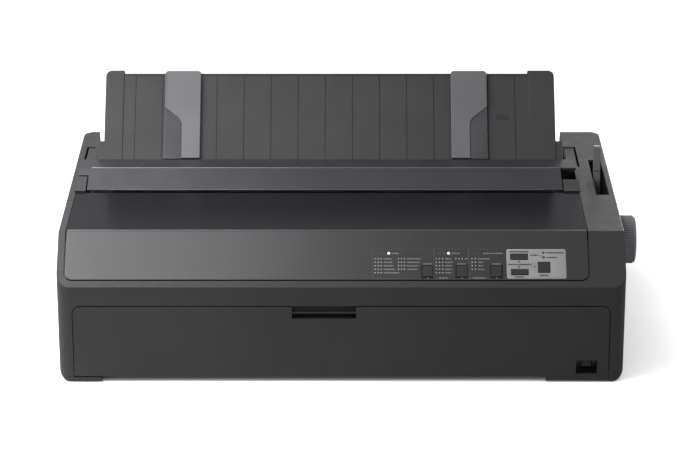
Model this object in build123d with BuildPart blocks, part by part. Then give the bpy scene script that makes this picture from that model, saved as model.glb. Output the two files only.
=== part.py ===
# Wide carriage dot matrix printer, in millimetres.
# +Z is up, the printer faces -Y, and +X is to its right as one looks at its front.
# The origin is the middle of the whole object on the surface that it stands on.

import os
from math import atan2, cos, degrees, hypot, pi, radians, sin

from build123d import *

os.makedirs("parts", exist_ok=True)

# Case
case_width = 620.0
case_depth = 402.0
deck_height = 158.5
shoulder_height = 111.9
slope_run = 50.0
split_height = 90.3
base_height = 6.6
leg_height = 1.2
wall = 3.0
corner_radius = 14.0
rear_deck_corner = 15.0
side_round = 12.0
edge_round = 1.6
knob_reach = 19.0

case_x = -knob_reach / 2
left_x = case_x - case_width / 2
right_x = case_x + case_width / 2
front_y = -case_depth / 2
rear_y = case_depth / 2

# Frames beside the covers, and the horns behind them
left_frame = 7.8
right_frame = 39.8
rim = 7.9
horn_run = 72.5
left_horn = 18.3
right_horn = 46.7
rear_bevel_run = 16.0
rear_bevel_drop = 40.0
sill_drop = 0.5

open_left = left_x + left_frame
open_right = right_x - right_frame
horn_left = left_x + left_horn
horn_right = right_x - right_horn
horn_y = rear_y - horn_run
ridge_y = front_y + slope_run
under_deck = deck_height - wall
rear_sill = deck_height - rear_bevel_drop - sill_drop

# Clearances
cover_gap = 0.6
groove = 1.2
shaft_gap = 0.06
rest_gap = 0.3

# Slope of the control panel
panel_corner = 9.5
slope_length = hypot(slope_run, deck_height - shoulder_height)
slope_cos = slope_run / slope_length
slope_sin = (deck_height - shoulder_height) / slope_length
slope_plane = Plane(
    origin=(case_x, front_y, shoulder_height),
    x_dir=(1, 0, 0),
    z_dir=(0, -slope_sin, slope_cos),
)
slope_axis = Axis(slope_plane.origin, slope_plane.z_dir)


def block(x_low, x_high, y_low, y_high, z_low, z_high, mode=Mode.ADD):
    """A block between two corners, in the part that is being built."""
    with Locations(((x_low + x_high) / 2, (y_low + y_high) / 2, (z_low + z_high) / 2)):
        Box(x_high - x_low, y_high - y_low, z_high - z_low, mode=mode)


def rod(x_low, x_high, y, z, radius, mode=Mode.ADD):
    """A round bar along X, in the part that is being built."""
    with Locations(((x_low + x_high) / 2, y, z)):
        Cylinder(radius, x_high - x_low, rotation=(0, 90, 0), mode=mode)


def facing(y):
    """The upright plane at a depth, seen from the front: its X is X and its Y is Z."""
    return Plane.XZ.offset(-y)


def save(part, name):
    """Label a finished piece and write it."""
    part.label = name
    export_step(part, f"parts/{name}.step")


# Front door and the bay behind it
door_margin = 16.5
door_thick = 3.0
door_corner = 8.5
door_opening_corner = 9.4
door_edge = 0.8
door_step = 85.5
bay_depth = 44.0
bay_top = 64.0
grip_left = 54.0
grip_right = 15.9
grip_drop = 15.3
grip_tray = 9.0
grip_lip = 1.6

door_left = left_x + door_margin
door_right = right_x - door_margin
door_step_x = right_x - door_step
grip_low_x = case_x - grip_left
grip_high_x = case_x + grip_right
grip_floor = split_height - grip_drop
grip_lip_height = grip_floor + 7.0

# Door hinge, on two pins in the corner posts
door_pin_radius = 1.6
door_pin_y = front_y + 3.7
door_pin_z = 9.4
door_pin_length = 8.0
door_pin_end_gap = 1.0
door_pin_in_door = 10.0
door_knuckle_radius = 3.2
door_knuckle_length = 12.0
door_sweep = hypot(door_pin_y - front_y, door_pin_z - leg_height) + 0.8
door_sweep_left = hypot(door_pin_y - front_y, door_pin_z - base_height) + 0.5

# Legs and feet
left_leg_x = left_x + 47.5
leg_depth = 52.0
foot_radius = 8.0
foot_height = 3.4
foot_inset_x = 24.0
foot_inset_y = 30.0

# Power switch, in the lower right corner behind a window in the door
switch_low_x = right_x - 52.8
switch_high_x = right_x - 29.8
switch_low_z = 9.8
switch_high_z = 25.7
switch_frame = 2.2
switch_body_depth = 22.0
rocker_low_x = right_x - 45.5
rocker_high_x = right_x - 34.8

# Vents in the side walls
vent_count = 14
vent_width = 3.0
vent_pitch = 7.5
vent_rear = 40.0
vent_z = (34.0, 66.0)

# Boards, screwed to the tray's floor
board_thick = 1.6
board_lift = 8.0
standoff_radius = 3.5
screw_radius = 1.5
screw_head = 2.8
screw_head_height = 1.8

tray_floor = base_height + wall

main_board_width = 205.0
supply_board_width = 180.0
board_depth_y = 144.0
main_board_x = (right_x - 130.0 - main_board_width, right_x - 130.0)
main_board_y = (rear_y - wall - 3.0 - board_depth_y, rear_y - wall - 3.0)
supply_board_x = (left_x + 40.0, left_x + 40.0 + supply_board_width)
supply_board_y = (main_board_y[0], rear_y - wall - 12.0)
board_edge = 8.0
cable_sockets = 5
cable_socket_length = 22.0
cable_socket_margin = 30.0
cable_socket_pitch = (main_board_width - cable_socket_margin - 15.0) / cable_sockets
processor_size = 30.0
processor_height = 2.4
driver_sink = (40.0, 20.0, 22.0)
transformer_size = 45.0
transformer_height = 34.0
supply_sink_height = 30.0
capacitor_radius = 11.0


def board_corners(x_span, y_span):
    """The four screw places of a board."""
    return [
        (x, y)
        for x in (x_span[0] + board_edge, x_span[1] - board_edge)
        for y in (y_span[0] + board_edge, y_span[1] - board_edge)
    ]


board_screws = board_corners(main_board_x, main_board_y)
board_screws += board_corners(supply_board_x, supply_board_y)

# Sockets in the rear wall, all in the lower case
inlet_x = left_x + 80.0
inlet_z = 40.0
inlet_width = 27.0
inlet_height = 20.0
inlet_flange = 4.0
inlet_depth = 26.0
parallel_x = main_board_x[0] + 45.0
parallel_width = 62.0
parallel_height = 14.0
usb_x = main_board_x[0] + 115.0
usb_width = 12.0
usb_height = 11.0
slot_cover_x = main_board_x[0] + 170.0
slot_cover_width = 72.0
slot_cover_height = 24.0
slot_cover_z = 46.0
socket_depth = 22.0

board_top = tray_floor + board_lift + board_thick

foot_places = [
    (x, y)
    for x in (left_x + foot_inset_x, right_x - foot_inset_x)
    for y in (front_y + foot_inset_y, rear_y - foot_inset_y)
]

# Lower case: a tray on four low legs, open at the front behind the door
with BuildPart() as base_tray:
    with BuildSketch(Plane.XY.offset(leg_height)):
        with Locations((case_x, 0)):
            RectangleRounded(case_width, case_depth, corner_radius)
    extrude(amount=split_height - leg_height)
    with BuildSketch(facing(front_y)):
        with Locations((case_x, leg_height + case_depth / 2)):
            RectangleRounded(case_width, case_depth, side_round)
    extrude(amount=-case_depth, mode=Mode.INTERSECT)
    # Underside between the legs
    block(left_leg_x, door_step_x, front_y, rear_y, 0, base_height, Mode.SUBTRACT)
    block(left_x, right_x, front_y + leg_depth, rear_y - leg_depth, 0, base_height, Mode.SUBTRACT)
    # Main hollow, behind the wall of the bay
    with BuildSketch(Plane.XY.offset(tray_floor)):
        with Locations((case_x, 0)):
            RectangleRounded(case_width - 2 * wall, case_depth - 2 * wall, corner_radius - wall)
        with Locations((case_x, front_y + (bay_depth + wall) / 2)):
            Rectangle(case_width, bay_depth + wall, mode=Mode.SUBTRACT)
    extrude(amount=split_height - tray_floor, mode=Mode.SUBTRACT)
    # Bay behind the door, with a low back wall that leaves the front paper path open
    block(door_left, door_right, front_y, front_y + bay_depth, tray_floor, split_height, Mode.SUBTRACT)
    block(
        door_left,
        door_right,
        front_y + bay_depth - 1,
        front_y + bay_depth + wall + 1,
        bay_top,
        split_height,
        Mode.SUBTRACT,
    )
    # Round upper corners of the door's opening
    for x_edge, side in ((door_left, 1), (door_right, -1)):
        with BuildSketch(facing(front_y)) as opening_corner:
            with Locations((x_edge + side * door_opening_corner / 2, split_height - door_opening_corner / 2)):
                Rectangle(door_opening_corner, door_opening_corner)
            with Locations((x_edge + side * door_opening_corner, split_height - door_opening_corner)):
                Circle(door_opening_corner, mode=Mode.SUBTRACT)
        extrude(opening_corner.sketch, amount=-2 * wall)
    # Place of the door itself, and the room that its lower edge sweeps
    block(door_left, door_right, front_y, door_pin_y, base_height, tray_floor, Mode.SUBTRACT)
    rod(door_left, door_step_x, door_pin_y, door_pin_z, door_sweep_left, Mode.SUBTRACT)
    rod(door_step_x - 1, door_right, door_pin_y, door_pin_z, door_sweep, Mode.SUBTRACT)
    block(door_step_x - 1, door_right, front_y, door_pin_y + door_sweep, 0, door_pin_z, Mode.SUBTRACT)
    # Hinge pins of the door sit in the corner posts
    rod(door_left - door_pin_length, door_left, door_pin_y, door_pin_z, door_pin_radius, Mode.SUBTRACT)
    rod(door_right, door_right + door_pin_length, door_pin_y, door_pin_z, door_pin_radius, Mode.SUBTRACT)
    # Pockets that hold the feet
    with Locations([(x, y, foot_height / 2) for x, y in foot_places]):
        Cylinder(foot_radius + rest_gap, foot_height, mode=Mode.SUBTRACT)
    # Posts under the boards
    with Locations([(x, y, tray_floor + board_lift / 2) for x, y in board_screws]):
        Cylinder(standoff_radius, board_lift)
    with Locations([(x, y, tray_floor + board_lift / 2) for x, y in board_screws]):
        Cylinder(screw_radius, board_lift, mode=Mode.SUBTRACT)
    # Vents in both side walls, beside the power supply and the main board
    for x_low in (left_x - 1, right_x - wall - 1):
        for i in range(vent_count):
            y_low = rear_y - vent_rear - i * vent_pitch
            block(x_low, x_low + wall + 2, y_low, y_low + vent_width, *vent_z, Mode.SUBTRACT)
    # Openings for the sockets
    block(
        inlet_x - inlet_width / 2 - rest_gap,
        inlet_x + inlet_width / 2 + rest_gap,
        rear_y - wall - 1,
        rear_y + 1,
        inlet_z - inlet_height / 2 - rest_gap,
        inlet_z + inlet_height / 2 + rest_gap,
        Mode.SUBTRACT,
    )
    block(
        parallel_x - parallel_width / 2 - rest_gap,
        parallel_x + parallel_width / 2 + rest_gap,
        rear_y - wall - 1,
        rear_y + 1,
        board_top,
        board_top + parallel_height + rest_gap,
        Mode.SUBTRACT,
    )
    block(
        usb_x - usb_width / 2 - rest_gap,
        usb_x + usb_width / 2 + rest_gap,
        rear_y - wall - 1,
        rear_y + 1,
        board_top,
        board_top + usb_height + rest_gap,
        Mode.SUBTRACT,
    )
    block(
        slot_cover_x - slot_cover_width / 2 - rest_gap,
        slot_cover_x + slot_cover_width / 2 + rest_gap,
        rear_y - wall / 2,
        rear_y + 1,
        slot_cover_z - slot_cover_height / 2 - rest_gap,
        slot_cover_z + slot_cover_height / 2 + rest_gap,
        Mode.SUBTRACT,
    )
    block(
        slot_cover_x - slot_cover_width / 2 + 3,
        slot_cover_x + slot_cover_width / 2 - 3,
        rear_y - wall - 1,
        rear_y,
        slot_cover_z - slot_cover_height / 2 + 3,
        slot_cover_z + slot_cover_height / 2 - 3,
        Mode.SUBTRACT,
    )
save(base_tray.part, "base_tray")

# Four rubber feet, each pressed up into its pocket
with BuildPart() as rubber_feet:
    with Locations([(x, y, foot_height / 2) for x, y in foot_places]):
        Cylinder(foot_radius, foot_height)
    chamfer(rubber_feet.edges().filter_by(GeomType.CIRCLE).group_by(Axis.Z)[0], 0.8)
save(rubber_feet.part, "rubber_feet")

# Front door, which swings forward and down
door_skin_y = front_y + door_thick
door_bottom = leg_height + rest_gap

with BuildPart() as front_door:
    with BuildSketch(facing(front_y)) as door_face:
        with BuildLine():
            Polyline(
                (door_left + groove / 2, base_height),
                (door_step_x, base_height),
                (door_step_x, door_bottom),
                (door_right - groove / 2, door_bottom),
                (door_right - groove / 2, split_height - groove),
                (door_left + groove / 2, split_height - groove),
                close=True,
            )
        make_face()
        fillet(door_face.vertices().group_by(Axis.Y)[-1], door_corner)
    extrude(amount=-door_thick)
    fillet(front_door.faces().sort_by(Axis.Y)[0].edges(), door_edge)
    # Grip notch in the top edge, over a tray with a finger lip
    block(grip_low_x, grip_high_x, front_y - 1, door_skin_y + 1, grip_floor, split_height, Mode.SUBTRACT)
    block(
        grip_low_x - wall,
        grip_high_x + wall,
        door_skin_y,
        door_skin_y + grip_tray,
        grip_floor - wall,
        grip_floor,
    )
    block(
        grip_low_x - wall,
        grip_high_x + wall,
        door_skin_y + grip_tray,
        door_skin_y + grip_tray + wall,
        grip_floor - wall,
        split_height - groove,
    )
    for x_low in (grip_low_x - wall, grip_high_x):
        block(x_low, x_low + wall, door_skin_y, door_skin_y + grip_tray, grip_floor, split_height - groove)
    block(
        grip_low_x,
        grip_high_x,
        front_y + 1,
        front_y + 1 + grip_lip,
        grip_lip_height - grip_lip / 2,
        grip_lip_height + grip_lip / 2,
    )
    # Window round the power switch
    block(
        switch_low_x,
        switch_high_x,
        front_y - 1,
        door_skin_y + 1,
        switch_low_z,
        switch_high_z,
        Mode.SUBTRACT,
    )
    # Knuckles at both lower corners, bored for the pins
    for x_low in (door_left + groove / 2, door_right - groove / 2 - door_knuckle_length):
        rod(x_low, x_low + door_knuckle_length, door_pin_y, door_pin_z, door_knuckle_radius)
    for x_low in (door_left, door_right - door_knuckle_length - groove):
        rod(
            x_low,
            x_low + door_knuckle_length + groove,
            door_pin_y,
            door_pin_z,
            door_pin_radius + shaft_gap,
            Mode.SUBTRACT,
        )
save(front_door.part, "front_door")

# Power switch: a dark frame with a rocker, on a bracket at the tray's corner
switch_z = (switch_low_z + switch_high_z) / 2
switch_front_y = door_pin_y + door_sweep + 1.0
rocker_pivot_y = switch_front_y + 7.0
rocker_pin_radius = 1.2
rocker_half_z = (switch_high_z - switch_low_z) / 2 - switch_frame

with BuildPart() as power_switch_housing:
    block(
        switch_low_x - 3,
        switch_high_x + 3,
        switch_front_y,
        switch_front_y + switch_body_depth,
        tray_floor,
        switch_high_z + 4,
    )
    block(
        rocker_low_x - 0.5,
        rocker_high_x + 0.5,
        switch_front_y - 1,
        switch_front_y + switch_body_depth - 3,
        switch_z - rocker_half_z - 1.6,
        switch_z + rocker_half_z + 1.6,
        Mode.SUBTRACT,
    )
    rod(
        switch_low_x - 3,
        switch_high_x + 3,
        rocker_pivot_y,
        switch_z,
        rocker_pin_radius + shaft_gap,
        Mode.SUBTRACT,
    )
save(power_switch_housing.part, "power_switch_housing")

# Rocker of the switch, on its own stub axles
with BuildPart() as power_rocker:
    with BuildSketch(Plane.YZ.offset(rocker_low_x)):
        with BuildLine():
            Polyline(
                (rocker_pivot_y + 5.0, switch_z - 3.0),
                (switch_front_y + 2.0, switch_z - rocker_half_z),
                (switch_front_y + 0.4, switch_z - rocker_half_z + 0.6),
                (switch_front_y + 2.6, switch_z),
                (switch_front_y + 0.4, switch_z + rocker_half_z - 0.6),
                (switch_front_y + 2.0, switch_z + rocker_half_z),
                (rocker_pivot_y + 5.0, switch_z + 3.0),
                close=True,
            )
        make_face()
    extrude(amount=rocker_high_x - rocker_low_x)
    rod(switch_low_x - 1, switch_high_x + 1, rocker_pivot_y, switch_z, rocker_pin_radius)
save(power_rocker.part, "power_rocker")

# Covers on the deck, from front to back
cover_length = 118.9
cover_front_y = ridge_y + 2.6
cover_rear_y = cover_front_y + cover_length
cover_thick = 2.5
cover_skirt = 6.0
cover_pin_y = cover_rear_y - 8.5
cover_pin_z = deck_height - 8.5
cover_pin_radius = 2.0
cover_ear = 4.6

tension_front_y = cover_rear_y + 6.0
tension_crest_y = tension_front_y + 44.0
tension_rear_y = tension_crest_y + 28.5
tension_front_z = deck_height + 1.5
tension_crest_z = deck_height + 12.4
tension_rear_z = deck_height + 12.5
tension_thick = 2.4
tension_pin_y = tension_front_y + 7.0
tension_pin_z = deck_height - 8.0
tension_pin_radius = 2.0
tension_cheek = 3.2
left_hood = 10.5
right_hood = 16.5
left_hood_rear = 25.0
right_hood_rear = 19.0
hood_front = 4.5
hood_rise = 1.0
hood_gap = 1.4

cover_left = open_left + cover_gap
cover_right = open_right - cover_gap
tension_left = cover_left + left_hood + hood_gap
tension_right = cover_right - right_hood - hood_gap
tension_rise = (tension_crest_z - tension_front_z) / (tension_crest_y - tension_front_y)

# Bosses on the inner edges of the side frames, one for both covers
boss_low_y = cover_pin_y - 7.0
boss_high_y = tension_pin_y + 6.0
boss_low_z = cover_pin_z - 5.5
frame_boss = 8.0

# Ears that carry the sheet guide
guide_tilt = 40.0
guide_cos = cos(radians(guide_tilt))
guide_sin = sin(radians(guide_tilt))
guide_pin_y = tension_rear_y + 1.4
guide_pin_z = deck_height + 0.5
guide_pin_radius = 3.0
guide_left = open_left + 25.8
guide_right = open_right - 20.9
ear_radius = 7.0
ear_low_z = guide_pin_z - 13.0
ear_gap = 1.0
rest_slit = 2.4
rest_widening = 7.3
rest_block_width = 11.0
rest_block_height = 12.0
rest_block_set = 0.8

# Release lever and its slot in the right frame
lever_pin_y = tension_crest_y + 4.5
lever_pin_z = deck_height - 46.5
lever_slot_x = (right_x - 21.0, right_x - 6.5)
lever_slot_y = (lever_pin_y - 61.0, lever_pin_y + 58.0)
lever_x = (right_x - 18.8, right_x - 11.2)
lever_pin_radius = 3.0

# Platen axis
platen_y = cover_pin_y - 43.0
platen_z = deck_height - 36.5
knob_radius = 27.0
knob_hole_radius = 7.0

def leaning_outline(inset, mode=Mode.INTERSECT):
    """A prism that leans with the bevel at the rear and rounds its two corners."""
    lean = rear_bevel_run / rear_bevel_drop
    bevel_inset = inset * hypot(1, lean)
    z_low = split_height - wall
    y_low = front_y - 4 * rear_deck_corner
    y_high = rear_y + (deck_height - rear_bevel_drop - z_low) * lean - bevel_inset
    with BuildSketch(Plane.XY.offset(z_low)) as outline:
        with Locations((case_x, (y_low + y_high) / 2)):
            RectangleRounded(case_width - 2 * inset, y_high - y_low, rear_deck_corner - inset)
    rise = (deck_height + wall - z_low) * hypot(1, lean)
    extrude(outline.sketch, amount=rise, dir=(0, -lean, 1), mode=mode)


# Hollow of the upper case, one wall inside its outline all round
with BuildPart() as case_hollow:
    leaning_outline(wall, Mode.ADD)
    with BuildSketch(Plane.XY.offset(split_height)):
        with Locations((case_x, 0)):
            RectangleRounded(case_width - 2 * wall, case_depth - 2 * wall, corner_radius - wall)
    extrude(amount=deck_height - split_height, mode=Mode.INTERSECT)
    with BuildSketch(Plane.YZ.offset(left_x)):
        with BuildLine():
            Polyline(
                (front_y, split_height - wall),
                (front_y, shoulder_height),
                (ridge_y, deck_height),
                (rear_y - rear_bevel_run, deck_height),
                (rear_y, deck_height - rear_bevel_drop),
                (rear_y, split_height - wall),
                close=True,
            )
        make_face()
        offset(amount=-wall, kind=Kind.INTERSECTION, mode=Mode.REPLACE)
    extrude(amount=case_width, mode=Mode.INTERSECT)

# Upper case: one ring of front band, side frames, horns and rear wall
with BuildPart() as upper_case:
    with BuildSketch(Plane.XY.offset(split_height)):
        with Locations((case_x, 0)):
            RectangleRounded(case_width, case_depth, corner_radius)
    extrude(amount=deck_height - split_height)
    with BuildSketch(Plane.YZ.offset(left_x)) as case_side:
        with BuildLine():
            Polyline(
                (front_y, split_height),
                (front_y, shoulder_height),
                (ridge_y, deck_height),
                (rear_y - rear_bevel_run, deck_height),
                (rear_y, deck_height - rear_bevel_drop),
                (rear_y, split_height),
                close=True,
            )
        make_face()
    extrude(amount=case_width, mode=Mode.INTERSECT)
    # Soft outer edges round the deck, the slope and the bevel at the rear
    up_faces = [face for face in upper_case.faces() if face.normal_at().Z > 0.2]
    fillet([edge for face in up_faces for edge in face.edges()], edge_round)
    leaning_outline(0)
    # Hollow under the skin
    add(case_hollow.part, mode=Mode.SUBTRACT)
    # Opening in the slope for the control panel
    with BuildSketch(slope_plane.offset(wall)) as panel_hole:
        with Locations(((open_left + open_right) / 2 - case_x, rim + slope_length / 2)):
            RectangleRounded(open_right - open_left, slope_length, panel_corner)
    extrude(amount=-4 * wall, mode=Mode.SUBTRACT)
    # Opening in the deck for the covers, the tension unit and the paper
    block(open_left, open_right, ridge_y - 12, horn_y, shoulder_height + 20, deck_height + 1, Mode.SUBTRACT)
    block(horn_left, horn_right, horn_y - 1, rear_y + 1, rear_sill, deck_height + 1, Mode.SUBTRACT)
    # The opening is wider at the rear right, beside the block there
    block(
        open_right - 1,
        open_right + rest_widening,
        guide_pin_y + ear_radius + 1,
        horn_y,
        under_deck - 1,
        deck_height + 1,
        Mode.SUBTRACT,
    )
    # Hole for the knob's shaft
    rod(right_x - wall - 1, right_x + 1, platen_y, platen_z, knob_hole_radius, Mode.SUBTRACT)
    # Slot for the release lever
    block(*lever_slot_x, *lever_slot_y, under_deck - 1, deck_height + 1, Mode.SUBTRACT)
    # Bosses for the covers' hinge pins
    for x_low, x_high in ((left_x + wall, open_left), (open_right, open_right + frame_boss)):
        block(x_low, x_high, boss_low_y, boss_high_y, boss_low_z, under_deck)
        rod(x_low, x_high, cover_pin_y, cover_pin_z, cover_pin_radius, Mode.SUBTRACT)
        rod(x_low, x_high, tension_pin_y, tension_pin_z, tension_pin_radius, Mode.SUBTRACT)
    # Ears for the sheet guide, standing in from the side frames
    for x_low, x_high in (
        (left_x + wall, guide_left - ear_gap),
        (guide_right + ear_gap, open_right + frame_boss),
    ):
        block(x_low, x_high, guide_pin_y - ear_radius, guide_pin_y + ear_radius, ear_low_z, under_deck)
        block(
            max(x_low, open_left),
            min(x_high, open_right),
            guide_pin_y - ear_radius,
            guide_pin_y + ear_radius,
            under_deck,
            guide_pin_z,
        )
        rod(max(x_low, open_left), min(x_high, open_right), guide_pin_y, guide_pin_z, ear_radius)
        rod(
            max(x_low, open_left),
            min(x_high, open_right),
            guide_pin_y,
            guide_pin_z,
            guide_pin_radius + shaft_gap,
            Mode.SUBTRACT,
        )
    # Blocks between the ears and the horns, with a slit along their outer sides
    for x_low, x_high in (
        (open_left + rest_slit, open_left + rest_slit + rest_block_width),
        (open_right + rest_widening - rest_slit - rest_block_width, open_right + rest_widening - rest_slit),
    ):
        block(
            x_low,
            x_high,
            guide_pin_y + ear_radius - 1,
            horn_y + 1,
            deck_height - rest_block_height,
            deck_height - rest_block_set,
        )
    # Inner walls of the horns
    for x_low, x_high in ((horn_left - wall, horn_left), (horn_right, horn_right + wall)):
        block(x_low, x_high, horn_y, rear_y - rear_bevel_run - 2, rear_sill, under_deck)
    for x_low, x_high in ((left_x + wall, horn_left), (horn_right, open_right)):
        block(x_low, x_high, horn_y, horn_y + wall, rear_sill, under_deck)
    # Pin of the release lever
    rod(lever_x[0] - 2, right_x - wall, lever_pin_y, lever_pin_z, lever_pin_radius)
    # Hoods over the tension unit's pins, at both ends of its bar
    for x_low, x_high, reach in (
        (open_left - 1.0, cover_left + left_hood, left_hood_rear),
        (cover_right - right_hood, open_right + 1.0, right_hood_rear),
    ):
        with BuildSketch(Plane.YZ.offset(x_low)) as hood:
            with BuildLine():
                Polyline(
                    (tension_front_y - hood_front, under_deck + 1.0),
                    (tension_front_y - hood_front, tension_front_z + 0.4),
                    (tension_front_y, tension_front_z + hood_rise),
                    (tension_front_y + reach, tension_front_z + hood_rise + tension_rise * reach),
                    (tension_front_y + reach, under_deck + 1.0),
                    close=True,
                )
            make_face()
        extrude(hood.sketch, amount=x_high - x_low)
save(upper_case.part, "upper_case")

# Hinge pins of the door and the covers, pressed into the case
with BuildPart() as hinge_pins:
    pin_reach = door_pin_length - door_pin_end_gap
    rod(door_left - pin_reach, door_left + door_pin_in_door, door_pin_y, door_pin_z, door_pin_radius)
    rod(door_right - door_pin_in_door, door_right + pin_reach, door_pin_y, door_pin_z, door_pin_radius)
    for y, z, radius, low_end, high_end in (
        (cover_pin_y, cover_pin_z, cover_pin_radius, cover_left + cover_ear, cover_right - cover_ear),
        (
            tension_pin_y,
            tension_pin_z,
            tension_pin_radius,
            tension_left + tension_cheek,
            tension_right - tension_cheek,
        ),
    ):
        rod(left_x + wall, low_end, y, z, radius)
        rod(high_end, open_right + frame_boss, y, z, radius)
save(hinge_pins.part, "hinge_pins")

# Control panel, a flush plate in the slope: places are (x, s) with s measured up the slope
panel_thick = 3.0
panel_edge = 0.8
flange_reach = 4.0
flange_thick = 2.0
flange_corner = 12.0
button_gap = 0.3
button_proud = 1.0
button_collar = 1.5
button_travel = 1.0
button_stem = 2.0
board_depth = 12.0
light_radius = 1.1

# The keys' places across are counted from a point this far in from the panel's right end
key_zero = open_right - case_x - 270.2
key_low_s = 12.7
key_high_s = 26.2
buttons = {
    "font_button": (key_zero + 88.2, key_zero + 99.7, key_low_s, key_high_s),
    "pitch_button": (key_zero + 125.4, key_zero + 137.2, key_low_s, key_high_s),
    "tear_off_button": (key_zero + 163.1, key_zero + 174.3, key_low_s, key_high_s),
    "load_eject_button": (key_zero + 184.4, key_zero + 203.0, 33.6, 40.3),
    "line_feed_button": (key_zero + 185.0, key_zero + 203.4, 15.2, 21.7),
    "pause_button": (key_zero + 214.4, key_zero + 227.1, 18.1, 30.4),
}
status_s = 41.2
lights = [(key_zero + x, status_s) for x in (40.1, 46.4, 51.7, 106.8, 112.1, 117.0, 144.0, 149.7)]
lights += [(key_zero + 220.5, 41.7), (key_zero + 220.5, 36.2)]
control_board_x = (key_zero + 26.0, key_zero + 252.0)
control_board_s = (5.0, 52.0)
board_post_radius = 2.5
board_posts = [
    (x, s)
    for x in (control_board_x[0] + 4, control_board_x[1] - 3)
    for s in (control_board_s[0] + 4, control_board_s[1] - 4)
]


def slope_block(x_low, x_high, s_low, s_high, depth_low, depth_high, corner=0.0, mode=Mode.ADD):
    """A block square to the slope, between two depths under its surface."""
    with BuildSketch(slope_plane.offset(-depth_low)) as outline:
        with Locations(((x_low + x_high) / 2, (s_low + s_high) / 2)):
            if corner > 0:
                RectangleRounded(x_high - x_low, s_high - s_low, corner)
            else:
                Rectangle(x_high - x_low, s_high - s_low)
    extrude(outline.sketch, amount=depth_low - depth_high, mode=mode)


with BuildPart() as control_panel:
    slope_block(
        open_left + groove - case_x,
        open_right - groove - case_x,
        rim + groove,
        slope_length + 20,
        0,
        panel_thick,
        corner=panel_corner - groove,
    )
    slope_block(
        open_left - flange_reach - case_x,
        open_right + flange_reach - case_x,
        rim - flange_reach,
        slope_length - 8,
        wall,
        wall + flange_thick,
        corner=flange_corner,
    )
    block(left_x, right_x, cover_front_y - cover_gap, 0, 0, 2 * deck_height, Mode.SUBTRACT)
    block(left_x, right_x, front_y, rear_y, deck_height, 2 * deck_height, Mode.SUBTRACT)
    slope_face = control_panel.faces().filter_by(slope_plane).sort_by(slope_axis)[-1]
    fillet(slope_face.edges(), panel_edge)
    for x_low, x_high, s_low, s_high in buttons.values():
        slope_block(
            x_low - button_gap,
            x_high + button_gap,
            s_low - button_gap,
            s_high + button_gap,
            -1,
            wall + flange_thick + 1,
            mode=Mode.SUBTRACT,
        )
    with BuildSketch(slope_plane) as light_holes:
        with Locations(lights):
            Circle(light_radius)
    extrude(amount=-2 * wall, mode=Mode.SUBTRACT)
    with BuildSketch(slope_plane.offset(-wall - flange_thick)) as posts:
        with Locations(board_posts):
            Circle(board_post_radius)
    extrude(amount=wall + flange_thick - board_depth)
save(control_panel.part, "control_panel")

# Buttons, each with a collar behind the plate and a stem over its switch
for button_name, (x_low, x_high, s_low, s_high) in buttons.items():
    x_mid = (x_low + x_high) / 2
    s_mid = (s_low + s_high) / 2
    collar_top = wall + flange_thick + 0.2
    with BuildPart() as button:
        slope_block(x_low, x_high, s_low, s_high, -button_proud, collar_top + 0.1)
        chamfer(button.faces().sort_by(slope_axis)[-1].edges(), 0.5)
        slope_block(
            x_low - 1.2,
            x_high + 1.2,
            s_low - 1.2,
            s_high + 1.2,
            collar_top,
            collar_top + button_collar,
        )
        slope_block(
            x_mid - button_stem,
            x_mid + button_stem,
            s_mid - button_stem,
            s_mid + button_stem,
            collar_top,
            board_depth - 2.0 - button_travel - rest_gap,
        )
    save(button.part, button_name)

# Status lights, clear rods pressed into the panel
with BuildPart() as status_lights:
    with BuildSketch(slope_plane):
        with Locations(lights):
            Circle(light_radius)
    extrude(amount=-wall - flange_thick)
save(status_lights.part, "status_lights")

# Control board on the panel's posts, with a switch under each button
with BuildPart() as control_board:
    slope_block(*control_board_x, *control_board_s, board_depth, board_depth + board_thick)
    for x_low, x_high, s_low, s_high in buttons.values():
        x_mid = (x_low + x_high) / 2
        s_mid = (s_low + s_high) / 2
        slope_block(x_mid - 3, x_mid + 3, s_mid - 3, s_mid + 3, board_depth - 2.0, board_depth)
save(control_board.part, "control_board")

# Smoked printer cover, hinged at its rear edge
with BuildPart() as printer_cover:
    block(cover_left, cover_right, cover_front_y, cover_rear_y, deck_height - cover_thick, deck_height)
    fillet(printer_cover.edges().filter_by(Axis.X).group_by(Axis.Z)[-1].sort_by(Axis.Y)[0], 1.2)
    block(
        cover_left + 2,
        cover_right - 2,
        cover_front_y + 1,
        cover_front_y + 1 + cover_thick,
        deck_height - cover_thick - cover_skirt,
        deck_height - cover_thick,
    )
    for x_low in (cover_left, cover_right - cover_ear + cover_gap):
        x_high = x_low + cover_ear - cover_gap
        block(x_low, x_high, cover_pin_y - 5, cover_pin_y + 5, cover_pin_z, deck_height - cover_thick)
        rod(x_low, x_high, cover_pin_y, cover_pin_z, 5.0)
        rod(x_low, x_high, cover_pin_y, cover_pin_z, cover_pin_radius + shaft_gap, Mode.SUBTRACT)
save(printer_cover.part, "printer_cover")

# Paper tension unit, a ridged bar over the paper exit that swings up on its front pins
roller_y = tension_pin_y + 18.5
roller_z = deck_height - 4.5
roller_shaft_radius = 2.5
roller_radius = 6.0
roller_count = 6
roller_length = 44.0

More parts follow.
